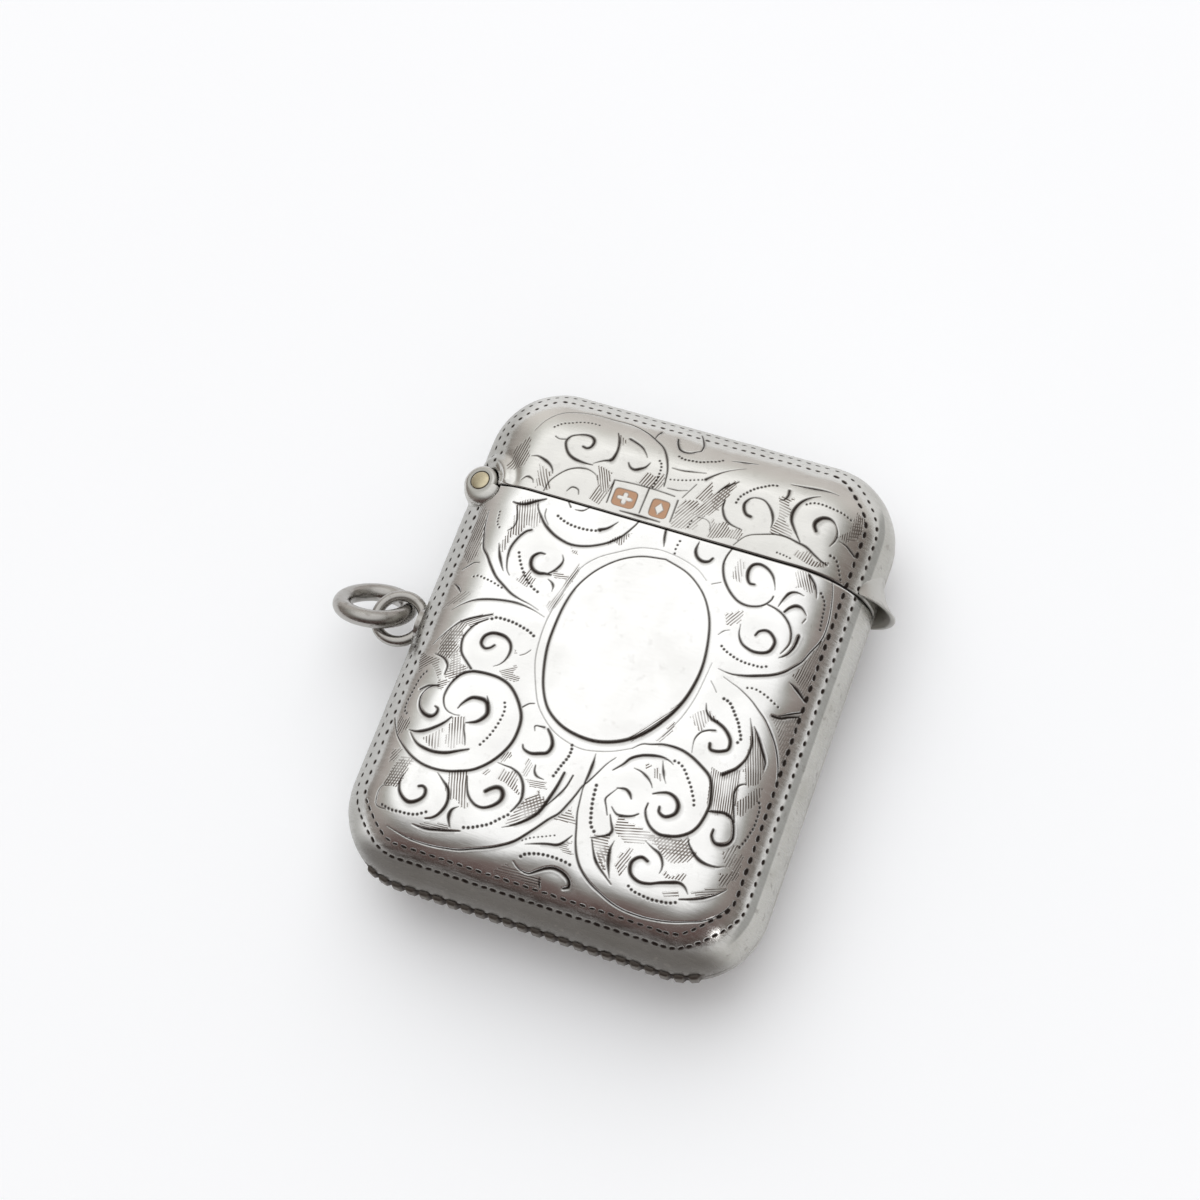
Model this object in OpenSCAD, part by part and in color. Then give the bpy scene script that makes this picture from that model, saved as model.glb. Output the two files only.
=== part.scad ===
// Pocket match case with a side-hinged, spring-held lid, lying on its back.
// Millimetres. X runs across the case, Y along it towards the lid, Z up from the back.
// The origin is the centre of the flat back face.

/* [Case] */
// Width of the closed case
case_w = 34; // [30:0.5:44]
// Length of the closed case
case_l = 42.7; // [38:0.1:60]
// Thickness of the case, which is also the diameter of its half-round edge
case_t = 12.4; // [11:0.1:14]
// Thickness of the silver sheet
wall = 0.6; // [0.4:0.05:0.9]
// Distance of the lid joint from the middle of the case
seam_y = 10.5; // [8:0.25:13]
// Gap between the closed lid and the body
seam_gap = 0.2; // [0.1:0.05:0.4]

/* [Collar] */
// Height of the collar above the body mouth
collar_rise = 1.8; // [1:0.1:2.5]
// Depth of the collar inside the body
collar_depth = 3; // [2:0.25:5]
// Thickness of the collar
collar_t = 0.45; // [0.3:0.05:0.7]
// Clearance between the collar and the lid
collar_clear = 0.15; // [0.1:0.01:0.25]

/* [Hinge] */
// Distance of the hinge axis inside the side of the case
hinge_in = 1.5; // [1.4:0.05:1.7]
// Radius of the hinge knuckles
knuckle_r = 1.45; // [1.3:0.05:1.5]
// Height of the knuckle ends above the rounded edge of the case
knuckle_proud = 0.7; // [0.4:0.05:0.7]
// Length of the lid's middle knuckle
lid_knuckle_l = 4.4; // [3.5:0.1:5]
// End play between neighbouring knuckles
knuckle_play = 0.12; // [0.06:0.02:0.3]
// Drop of the rounded bearer below each body knuckle
bearer_drop = 0.9; // [0.5:0.05:1.1]
// Radius of the hinge pin
pin_r = 0.75; // [0.6:0.05:0.9]
// Running clearance of the lid's knuckle on the pin
pin_clear = 0.04; // [0.02:0.01:0.08]
// Radius of the relief that each half leaves around the other half's knuckle
relief_r = 1.8; // [1.7:0.05:2]
// Height of the relief in the side wall, which lets the lid swing
relief_h = 1.9; // [1.8:0.05:2.4]
// Depth of the two flats on the middle knuckle that the spring bears on
cam_flat = 0.2; // [0.1:0.05:0.4]

/* [Spring] */
// Length of the closing spring
spring_l = 18; // [12:0.5:20]
// Width of the closing spring
spring_w = 3.6; // [2.5:0.1:4.2]
// Thickness of the closing spring
spring_t = 0.3; // [0.2:0.05:0.5]
// Gap between the spring and the round of the middle knuckle
spring_gap = 0.08; // [0.04:0.02:0.2]
// Reach of the spring past the hinge axis
spring_reach = 0.9; // [0.5:0.1:1.3]
// Length of the block that carries the spring
block_l = 4; // [3:0.25:6]
// Radius of the spring's rivets
rivet_r = 0.4; // [0.3:0.05:0.6]
// Radius of the rivet heads
rivet_head_r = 0.7; // [0.55:0.05:0.9]
// Height of the rivet heads
rivet_head_h = 0.25; // [0.15:0.05:0.4]

/* [Striker] */
// Width of the striker strip across the base
strip_w = 1.4; // [1:0.1:3]
// Height of the strip above the edge of the base
strip_proud = 0.3; // [0.25:0.05:0.4]
// Turn of the strip round each base corner, in degrees
strip_turn = 30; // [15:1:45]
// Distance between two grooves
groove_pitch = 1.15; // [0.9:0.05:1.5]
// Depth of the grooves
groove_depth = 0.2; // [0.1:0.05:0.2]

/* [Thumb tab] */
// Radius of the domed thumb tab
tab_r = 3.8; // [3.2:0.1:4.5]
// Reach of the tab beyond the side of the case
tab_proud = 1.7; // [1.2:0.1:2.2]
// Thickness of the tab
tab_t = 0.45; // [0.3:0.05:0.7]

/* [Chain ring] */
// Distance of the loop's centre below the middle of the case
loop_drop = 0.8; // [-2:0.1:4]
// Distance of the loop's centre from the side of the case
loop_out = 2; // [1.7:0.1:2.2]
// Radius of the loop to the middle of its wire
loop_r = 1.95; // [1.8:0.05:2.2]
// Radius of the loop's wire
loop_wire_r = 0.45; // [0.35:0.05:0.5]
// Radius of the solder pad under the loop
pad_r = 1.3; // [1:0.1:1.8]
// Thickness of the solder pad
pad_t = 0.3; // [0.2:0.05:0.4]
// Radius of the ring to the middle of its wire
ring_r = 2.84; // [2.8:0.02:3.2]
// Radius of the ring's wire
ring_wire_r = 0.6; // [0.5:0.02:0.62]
// Place of the ring's centre from the loop's centre
ring_at = [-2.7, 0.75, -0.75];
// Turn of the ring's level diameter from the X axis, in degrees
ring_turn = 5; // [0:1:10]
// Slope of the ring above that diameter, in degrees
ring_slope = 47; // [40:1:55]

/* [Hidden] */

$fn = 96;
silver = [0.78, 0.77, 0.74];
silver_dark = [0.66, 0.65, 0.62];
brass = [0.72, 0.66, 0.48];
steel = [0.45, 0.47, 0.5];

edge_r = case_t / 2;
inner_r = edge_r - wall;
half_w = case_w / 2;
half_l = case_l / 2;
// Corner centres in plan
corner_x = half_w - edge_r;
corner_y = half_l - edge_r;
lid_y = seam_y + seam_gap;
hinge_x = -half_w + hinge_in;
hinge_y = seam_y + seam_gap / 2;
bearer_in = hinge_in / 10;
knuckle_start = lid_knuckle_l / 2 + knuckle_play;
leaf_x = hinge_x + knuckle_r + spring_gap;
leaf_low = hinge_y + spring_reach - spring_l;
collar_end_x = hinge_x + bearer_in + knuckle_r + collar_t;
// Angle between two grooves on a corner, and the grooves on half the base and on one corner
groove_step = groove_pitch / edge_r * 180 / PI;
base_grooves = floor(corner_x / groove_pitch);
corner_grooves = floor(strip_turn / groove_step);
loop_at = [-half_w - loop_out, -loop_drop, edge_r];
// Length that reaches through the whole case in a cut
through = 2 * case_t;

// Section of the sheet round a quarter of the edge, centred on the edge's axis
module quarter_section() {
    intersection() {
        difference() {
            circle(edge_r);
            circle(inner_r);
        }
        square(edge_r);
    }
}

// Both side walls from one place along Y to the corners
module side_walls(from_y) {
    for (side = [0, 1])
        mirror([side, 0, 0])
            translate([corner_x, corner_y, 0])
                rotate([90, 0, 0])
                    linear_extrude(corner_y - from_y)
                        quarter_section();
}

// Places a section that is centred on the edge's axis along the +Y end
module along_end() {
    translate([-corner_x, corner_y, 0])
        rotate([90, 0, 90])
            linear_extrude(2 * corner_x)
                children();
}

// Repeats a corner's shape, which is drawn round the corner's centre, at both +Y corners
module both_corners() {
    for (side = [0, 1])
        mirror([side, 0, 0])
            translate([corner_x, corner_y, 0])
                children();
}

// Both round corners and the end between them
module end_walls() {
    both_corners()
        rotate_extrude(angle = 90)
            quarter_section();
    along_end()
        quarter_section();
}

// Flat face between the rounded edges
module face_plate(from_y) {
    translate([-corner_x, from_y, inner_r])
        cube([2 * corner_x, corner_y - from_y, wall]);
}

// Front half of a shell that is open at from_y and closed at +Y, with its mid plane at zero
module half_shell(from_y) {
    side_walls(from_y);
    end_walls();
    face_plate(from_y);
}

// Solid round of the left edge, grown or shrunk to a radius
module left_edge(radius) {
    translate([-corner_x, 0, 0])
        rotate([90, 0, 0])
            cylinder(r = radius, h = 2 * case_l, center = true);
}

// Turns a front half shape to the back
module to_back() {
    mirror([0, 0, 1])
        children();
}

// Lifts a shape that is centred on the mid plane to its place above the back face
module placed() {
    translate([0, 0, edge_r])
        children();
}

// Outline of a body knuckle and the bearer below it
module knuckle_outline() {
    circle(knuckle_r);
    translate([bearer_in, -bearer_drop])
        circle(knuckle_r);
}

module at_hinge() {
    translate([hinge_x, hinge_y, 0])
        children();
}

// Room in the front half of the body for its own knuckle and the lid's swing
module body_hinge_cut() {
    at_hinge() {
        translate([0, 0, knuckle_start])
            linear_extrude(edge_r)
                knuckle_outline();
        translate([0, 0, -knuckle_start])
            cylinder(r = relief_r, h = 2 * knuckle_start);
        translate([-through, -relief_h, -knuckle_start])
            cube([through, through, 2 * knuckle_start]);
    }
}

// Room in the lid for the body's knuckles
module lid_hinge_cut() {
    at_hinge() {
        cylinder(r = relief_r, h = through, center = true);
        translate([-through, relief_h - through, -through / 2])
            cube(through);
    }
}

module body_half() {
    difference() {
        mirror([0, 1, 0])
            half_shell(-seam_y);
        body_hinge_cut();
    }
}

module lid_half() {
    difference() {
        half_shell(lid_y);
        lid_hinge_cut();
    }
}

module body_front_shell() {
    color(silver)
        placed()
            body_half();
}

module body_back_shell() {
    color(silver)
        placed()
            to_back()
                body_half();
}

module lid_front_shell() {
    color(silver)
        placed()
            lid_half();
}

module lid_back_shell() {
    color(silver)
        placed()
            to_back()
                lid_half();
}

// Section of the collar: two flats and the round at the tab side
module collar_section(outer_r) {
    collar_inner_r = inner_r - collar_t;
    translate([corner_x, 0])
        intersection() {
            difference() {
                circle(outer_r);
                circle(collar_inner_r);
            }
            translate([0, -edge_r])
                square([edge_r, case_t]);
        }
    for (side = [0, 1])
        mirror([0, side])
            translate([collar_end_x, collar_inner_r])
                square([corner_x - collar_end_x, outer_r - collar_inner_r]);
}

// One step of the collar between two places along Y
module collar_step(outer_r, from_y, to_y) {
    translate([0, to_y, 0])
        rotate([90, 0, 0])
            linear_extrude(to_y - from_y)
                intersection() {
                    collar_section(outer_r);
                    collar_clip(outer_r);
                }
}

// Keeps the collar's flats inside the rounded edge at the hinge side
module collar_clip(outer_r) {
    translate([-corner_x, 0])
        circle(outer_r);
    translate([-corner_x, -outer_r])
        square([case_w, 2 * outer_r]);
}

module mouth_collar() {
    color(silver_dark)
        placed() {
            collar_step(inner_r, seam_y - collar_depth, seam_y);
            collar_step(inner_r - collar_clear, seam_y, seam_y + collar_rise);
        }
}

// Section of the striker strip, seated on the rounded edge
module strip_section() {
    difference() {
        translate([edge_r - strip_proud, -strip_w / 2])
            square([2 * strip_proud, strip_w]);
        circle(edge_r);
    }
}

// One groove across the strip, with its edge turned to the strip
module groove() {
    cylinder(r = groove_depth, h = through, center = true, $fn = 4);
}

// The strip at the +Y end, which striker_strip turns to the base
module strip_at_end() {
    outer_r = edge_r + strip_proud;
    difference() {
        union() {
            along_end()
                strip_section();
            both_corners()
                rotate(90 - strip_turn)
                    rotate_extrude(angle = strip_turn)
                        strip_section();
        }
        for (i = [-base_grooves : base_grooves])
            translate([i * groove_pitch, corner_y + outer_r, 0])
                groove();
        both_corners()
            for (i = [1 : corner_grooves])
                rotate(90 - (i - 0.5) * groove_step)
                    translate([outer_r, 0, 0])
                        groove();
    }
}

module striker_strip() {
    color(silver_dark)
        placed()
            mirror([0, 1, 0])
                strip_at_end();
}

module pin_hole(radius) {
    at_hinge()
        cylinder(r = radius, h = through, center = true);
}

module body_knuckle() {
    difference() {
        intersection() {
            at_hinge()
                translate([0, 0, knuckle_start])
                    linear_extrude(edge_r)
                        knuckle_outline();
            left_edge(edge_r + knuckle_proud);
        }
        pin_hole(pin_r);
    }
}

module body_knuckle_front() {
    color(silver)
        placed()
            body_knuckle();
}

module body_knuckle_back() {
    color(silver)
        placed()
            to_back()
                body_knuckle();
}

module hinge_pin() {
    color(brass)
        placed()
            intersection() {
                pin_hole(pin_r);
                left_edge(edge_r + knuckle_proud);
            }
}

// Block beside the hinge that is trimmed to a round of the left edge
module edge_block(radius, from, size) {
    intersection() {
        translate(from)
            cube(size);
        left_edge(radius);
    }
}

module lid_knuckle() {
    low_z = -lid_knuckle_l / 2;
    tongue_x = hinge_in / 2;
    color(silver)
        placed()
            difference() {
                union() {
                    at_hinge()
                        translate([0, 0, low_z])
                            cylinder(r = knuckle_r, h = lid_knuckle_l);
                    edge_block(edge_r, [-half_w, hinge_y, low_z],
                        [hinge_in + tongue_x, relief_h, lid_knuckle_l]);
                    edge_block(inner_r, [-half_w, hinge_y + relief_h, low_z],
                        [hinge_in + tongue_x, relief_h, lid_knuckle_l]);
                }
                pin_hole(pin_r + pin_clear);
                translate([hinge_x + knuckle_r - cam_flat, hinge_y - case_t, -edge_r])
                    cube(case_t);
                translate([hinge_x - case_t, hinge_y - knuckle_r + cam_flat - case_t, -edge_r])
                    cube([through, case_t, case_t]);
            }
}

module spring_block() {
    color(silver_dark)
        placed()
            difference() {
                edge_block(inner_r, [-half_w, leaf_low, -spring_w / 2], [leaf_x + half_w, block_l, spring_w]);
                rivets(rivet_r);
            }
}

// Two rivet shanks through the leaf and into its block
module rivets(radius) {
    for (place = [1, 3])
        translate([leaf_x - 1, leaf_low + place * block_l / 4, 0])
            rotate([0, 90, 0])
                cylinder(r = radius, h = 1 + spring_t);
}

module closing_spring() {
    color(steel)
        placed()
            difference() {
                translate([leaf_x, leaf_low, -spring_w / 2])
                    cube([spring_t, spring_l, spring_w]);
                rivets(rivet_r);
            }
}

module spring_rivets() {
    color(brass)
        placed() {
            rivets(rivet_r);
            for (place = [1, 3])
                translate([leaf_x + spring_t, leaf_low + place * block_l / 4, 0])
                    rotate([0, 90, 0])
                        cylinder(r = rivet_head_r, h = rivet_head_h);
        }
}

module thumb_tab() {
    color(silver)
        placed()
            difference() {
                translate([half_w + tab_proud - tab_r, lid_y, 0])
                    difference() {
                        sphere(tab_r);
                        sphere(tab_r - tab_t);
                        translate([-case_t, -through, -edge_r])
                            cube([through, through, case_t]);
                    }
                mirror([1, 0, 0])
                    left_edge(edge_r);
            }
}

module wire_ring(radius, wire_r) {
    rotate_extrude()
        translate([radius, 0])
            circle(wire_r);
}

module loop_pad() {
    color(silver)
        difference() {
            translate([-half_w - pad_t, -loop_drop, edge_r])
                rotate([0, 90, 0])
                    cylinder(r = pad_r, h = edge_r);
            placed()
                left_edge(edge_r);
        }
}

module chain_loop() {
    color(silver)
        difference() {
            translate(loop_at)
                wire_ring(loop_r, loop_wire_r);
            translate([-half_w - pad_t, -loop_drop - case_w / 2, 0])
                cube(case_w);
        }
}

module chain_ring() {
    color(silver)
        translate(loop_at + ring_at)
            rotate(ring_turn)
                rotate([-ring_slope, 0, 0])
                    wire_ring(ring_r, ring_wire_r);
}

body_front_shell();
body_back_shell();
mouth_collar();
striker_strip();
body_knuckle_front();
body_knuckle_back();
hinge_pin();
spring_block();
closing_spring();
spring_rivets();
loop_pad();
chain_loop();
chain_ring();
lid_front_shell();
lid_back_shell();
lid_knuckle();
thumb_tab();
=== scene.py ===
"""Looks for the silver pocket match case: engraved front, worn silver, plain studio."""
import math

import bpy
import numpy as np
from mathutils import Matrix, Vector


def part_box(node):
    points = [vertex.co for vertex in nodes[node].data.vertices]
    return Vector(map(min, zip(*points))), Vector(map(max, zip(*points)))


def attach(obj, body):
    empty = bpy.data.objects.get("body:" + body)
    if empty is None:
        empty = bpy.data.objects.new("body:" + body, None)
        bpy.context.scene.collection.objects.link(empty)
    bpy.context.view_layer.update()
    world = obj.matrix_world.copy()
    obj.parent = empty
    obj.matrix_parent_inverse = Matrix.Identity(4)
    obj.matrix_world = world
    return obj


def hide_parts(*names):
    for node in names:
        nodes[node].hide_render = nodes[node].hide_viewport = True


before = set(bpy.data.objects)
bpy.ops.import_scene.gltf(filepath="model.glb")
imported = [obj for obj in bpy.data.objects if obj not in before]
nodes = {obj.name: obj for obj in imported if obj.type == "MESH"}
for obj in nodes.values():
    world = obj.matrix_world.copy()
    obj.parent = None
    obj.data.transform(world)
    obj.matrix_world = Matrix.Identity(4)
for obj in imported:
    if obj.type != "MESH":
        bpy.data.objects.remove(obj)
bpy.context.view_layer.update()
MM = 0.001

# The case, in millimetres, as in the CAD source; the lid's edge shows halfway across the seam
HALF_W, HALF_L, EDGE_R, WALL = 17.0, 21.35, 6.2, 0.6
CORNER_X, CORNER_Y = HALF_W - EDGE_R, HALF_L - EDGE_R
QUARTER = EDGE_R * math.pi / 2
SEAM_Y, LID_Y = 10.5, 10.7
LID_EDGE = (SEAM_Y + LID_Y) / 2

# The hinge: its axis, the front knuckle and its bearer, the pin, and the room that the lid needs to turn
HINGE_X, HINGE_Y = -15.5, 10.6
KNUCKLE_R, KNUCKLE_START, KNUCKLE_PROUD = 1.42, 2.32, 0.7
KNUCKLE_END, KNUCKLE_SLOPE = 11.25, 0.27
BEARER_R, BEARER_IN, BEARER_DROP = 1.64, 0.38, 0.35
PIN_R = 0.75
RELIEF_R, RELIEF_H = 1.8, 1.9

# The lid's wall round the front knuckle: its radii, its turn in degrees, how far it slopes away at
# its end, stays below the knuckle's end and is set into the sheet
COLLAR_INNER, COLLAR_OUTER = KNUCKLE_R + 0.07, KNUCKLE_R + 0.95
COLLAR_FROM, COLLAR_DROPS, COLLAR_TO, COLLAR_DROP = 2, 55, 112, 2.0
COLLAR_BELOW, COLLAR_SET_IN = 0.1, 0.35

# The sheet at the hinge: how far it runs under the body's knuckle and stays off it in the lid, and
# how thin its edge shows within a distance of the axis
SHEET_UNDER, SHEET_OFF = 0.1, 0.14
NEAR_HINGE, WALL_AT_HINGE = 2.6, 0.2

# The smaller pieces
RING_AT, RING_R, RING_WIRE = (-21.55, -0.15, 5.55), 2.72, 0.75
RING_TURN = Matrix.Rotation(math.radians(5), 3, "Z") @ Matrix.Rotation(math.radians(-47), 3, "X")
TAB_MID_X, TAB_R, TAB_HIGH, TAB_RIM = 14.9, 3.8, 2.9, 0.5
TAB_HALF, TAB_FLARE = 3.7, 1.7
STRIP_HALF, STRIP_PROUD, STRIP_TURN, STRIP_TAPER = 0.7, 0.29, 30.0, 0.6
NOTCH_PITCH, NOTCH_DEPTH, NOTCH_HALF = 1.15, 0.24, 0.22

# The grid's spacing where it is engraved and elsewhere, how far the engraved part reaches, and what
# turns the written strokes, punches and hatches into cuts
FINE, COARSE = 0.06, 0.35
FINE_P, FINE_Q = 16.95, 21.3
# PAINTED_FACET_FROM is the stroke width from which painted facet shade is laid beside a cut
STROKE_SCALE, STROKE_LEAST, STROKE_DEEPEST, PAINTED_FACET_FROM = 1.15, 0.055, 0.12, 0.2
SWELL, SWELL_SPREAD, PUNCH_DEPTH, STAMP_DEPTH = 0.2, 0.45, 0.06, 0.08
HATCH_SCALE, HATCH_PITCH_SCALE, HATCH_UNEVEN = 1.25, 1.08, 0.22


def make_camera():
    """The photo's camera: place, axes and focal length in a 1200 pixel wide frame."""
    place = Vector((42.65, -55.16, 188.35)) * MM
    right = Vector((0.93146, 0.34159, -0.12529))
    up = Vector((-0.27641, 0.88828, 0.36681))
    focal_px, frame_px = 2486.0, 1200.0
    data = bpy.data.cameras.new("camera")
    data.sensor_fit = "HORIZONTAL"
    data.sensor_width = 36.0
    data.lens = focal_px / frame_px * data.sensor_width
    data.clip_start = 0.005
    data.clip_end = 20.0
    camera = bpy.data.objects.new("camera", data)
    bpy.context.scene.collection.objects.link(camera)
    axes = Matrix((right, up, right.cross(up))).transposed()
    camera.matrix_world = Matrix.Translation(place) @ axes.to_4x4()
    bpy.context.scene.camera = camera


# Drawing plane
# The engraving is drawn on a plane that is wrapped over the front: the flat face keeps its
# own millimetres, and beyond it the distance runs down the rounded edge.

def wrap(p, q, inward=0.0):
    """Points in millimetres of the front surface for drawing plane places, moved in by inward."""
    base_x = np.clip(p, -CORNER_X, CORNER_X)
    base_y = np.clip(q, -CORNER_Y, CORNER_Y)
    out_x, out_y = p - base_x, q - base_y
    reach = np.hypot(out_x, out_y)
    turn = np.minimum(reach, QUARTER) / EDGE_R
    safe = np.maximum(reach, 1e-9)
    level = (EDGE_R - inward) * np.sin(turn)
    return np.stack([
        base_x + out_x / safe * level,
        base_y + out_y / safe * level,
        EDGE_R + (EDGE_R - inward) * np.cos(turn),
    ], -1)


def lengths_along(path):
    """The distance of each point of a path from its start."""
    return np.concatenate([[0], np.cumsum(np.hypot(*np.diff(path, axis=0).T))])


def smooth_path(points, spacing=0.04):
    """A smooth curve through given points, sampled evenly, and its length."""
    pts = np.array(points, float)
    if len(pts) == 2:
        pts = np.stack([pts[0], pts.mean(0), pts[1]])
    ends = np.vstack([2 * pts[0] - pts[1], pts, 2 * pts[-1] - pts[-2]])
    t = np.linspace(0, 1, 24, endpoint=False)[:, None]
    parts = []
    for a, b, c, d in zip(ends, ends[1:], ends[2:], ends[3:]):
        parts.append(0.5 * (2 * b + (c - a) * t + (2 * a - 5 * b + 4 * c - d) * t ** 2
                            + (3 * b - a - 3 * c + d) * t ** 3))
    path = np.vstack(parts + [pts[-1:]])
    along = lengths_along(path)
    even = np.linspace(0, along[-1], max(3, int(along[-1] / spacing)))
    return np.stack([np.interp(even, along, path[:, k]) for k in (0, 1)], -1), along[-1]


class Canvas:
    """The engraving on a grid of the drawing plane: depth, tarnish in the cuts with painted shade by them,
    fine line shading.
    """

    def __init__(self, p_lines, q_lines):
        self.p, self.q = p_lines, q_lines
        shape = (len(q_lines), len(p_lines))
        self.depth = np.zeros(shape)
        self.layers = {key: np.zeros(shape) for key in
                       ("groove", "copper", "lines", "lines_at", "cross", "cross_at")}

    def window(self, x, y, reach_x, reach_y):
        """The part of the grid round a place."""
        i0, i1 = np.searchsorted(self.p, (x - reach_x, x + reach_x))
        j0, j1 = np.searchsorted(self.q, (y - reach_y, y + reach_y))
        return slice(j0, j1), slice(i0, i1)

    def dig(self, x, y, half, depth, dark, punch=False):
        """One round touch of the graver or punch."""
        where = self.window(x, y, half * 1.35, half * 1.35)
        gap = np.hypot(self.p[where[1]][None, :] - x, self.q[where[0]][:, None] - y) / half
        if gap.size == 0:
            return
        cut = np.clip(1 - gap ** 2, 0, 1) if punch else np.clip(1 - gap, 0, 1)
        shade = np.clip(2.7 - 2.1 * gap, 0, 1) if punch else np.clip(1.5 - 1.35 * gap, 0, 1)
        groove = self.layers["groove"]
        self.depth[where] = np.maximum(self.depth[where], depth * cut)
        groove[where] = np.maximum(groove[where], dark * shade)

    def cut(self, widths, points, dark=1.0):
        """A graver's stroke whose width swells and tapers along it, with painted shade of a facet beside it
        where it is wide.
        """
        path, _ = smooth_path(points)
        width = np.interp(np.linspace(0, 1, len(path)), np.linspace(0, 1, len(widths)), widths)
        for (x, y), w in zip(path, width * STROKE_SCALE):
            depth = min(0.4 * w, STROKE_DEEPEST)
            self.dig(x, y, max(w / 2, STROKE_LEAST), depth, dark * min(1, 0.55 + w * 3))
            # Where the stroke is wide, an uncut dark touch beside it: painted shade of the facet
            if w > PAINTED_FACET_FROM:
                self.dig(x + 0.35 * w, y - 0.3 * w, 0.85 * w, 0.0, 0.42 * dark)

    def swell(self):
        """The metal between the strokes stands up softly: sink it round every stroke."""
        near = np.clip(self.depth / 0.05, 0, 1)
        steps = np.arange(-24, 25) * FINE / SWELL_SPREAD
        weights = np.exp(-0.5 * steps ** 2)
        for axis in (0, 1):
            near = np.apply_along_axis(np.convolve, axis, near, weights / weights.sum(), "same")
        self.depth += SWELL * near

    def dots(self, pitch, radius, points, dark=0.95):
        """A row of punched dots."""
        path, length = smooth_path(points, 0.02)
        for k in np.linspace(0, len(path) - 1, max(2, int(round(length / pitch)) + 1)).astype(int):
            self.dig(path[k, 0], path[k, 1], radius, PUNCH_DEPTH, dark, True)

    def hatch(self, angle, pitch, corners, layer):
        """A patch of fine parallel lines whose ends are uneven."""
        poly = np.array(corners, float)
        poly = poly.mean(0) + (poly - poly.mean(0)) * HATCH_SCALE
        pitch *= HATCH_PITCH_SCALE
        mid, span = (poly.max(0) + poly.min(0)) / 2, (poly.max(0) - poly.min(0)) / 2 + 0.4
        where = self.window(*mid, *span)
        pp, qq = np.meshgrid(self.p[where[1]], self.q[where[0]])
        if pp.size == 0:
            return
        c, s = math.cos(math.radians(angle)), math.sin(math.radians(angle))
        run, level = pp * c + qq * s, qq * c - pp * s
        poly_run, poly_level = poly @ (c, s), poly @ (-s, c)
        mask = np.zeros(pp.shape, bool)
        for k in range(int(poly_level.min() / pitch) - 1, int(poly_level.max() / pitch) + 2):
            at = (k + 0.5) * pitch
            hits = []
            for i in range(len(poly)):
                a, b = poly_level[i] - at, poly_level[i - 1] - at
                if a * b < 0:
                    hits.append(poly_run[i] + (poly_run[i - 1] - poly_run[i]) * a / (a - b))
            hits.sort()
            for low, high in zip(hits[::2], hits[1::2]):
                early = HATCH_UNEVEN * math.sin(k * 12.9 + angle) + 0.04
                late = HATCH_UNEVEN * math.sin(k * 7.3 + angle * 2) + 0.04
                mask |= (np.abs(level - at) <= pitch / 2) & (run > low + early) & (run < high - late)
        self.layers[layer][where][mask] = 1.0
        self.layers[layer + "_at"][where][mask] = (level / pitch)[mask]

    def stamp(self, x, y, half_x, half_y, motif):
        """A small sunk mark with a raised motif that belongs to nobody."""
        where = self.window(x, y, half_x * 1.3, half_y * 1.3)
        u, v = np.meshgrid((self.p[where[1]] - x) / half_x, (self.q[where[0]] - y) / half_y)
        if u.size == 0:
            return
        sunk = np.clip((1 - (np.abs(u) ** 5 + np.abs(v) ** 5)) * 4, 0, 1)
        raised = np.clip(motif(u, v) * 6, 0, 1)
        depth, copper = self.depth[where], self.layers["copper"][where]
        self.depth[where] = np.maximum(depth * (1 - sunk), STAMP_DEPTH * sunk * (1 - 0.8 * raised))
        self.layers["copper"][where] = np.maximum(copper, sunk * (1 - raised))
        self.layers["groove"][where] *= 1 - sunk


def four_petals(u, v):
    return 0.28 + 0.46 * np.abs(np.cos(2 * np.arctan2(v, u))) - np.hypot(u, v)


def lozenge(u, v):
    return 0.62 - np.abs(u) * 1.1 - np.abs(v) * 0.8


# Ornament
# Each stroke is written as 'numbers | x,y x,y ...;' with its points in millimetres of the drawing
# plane. The numbers are in hundredths of a millimetre: the widths along a cut, the pitch and radius
# of a row of dots, or, after an angle in degrees, the pitch of a hatch.

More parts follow.
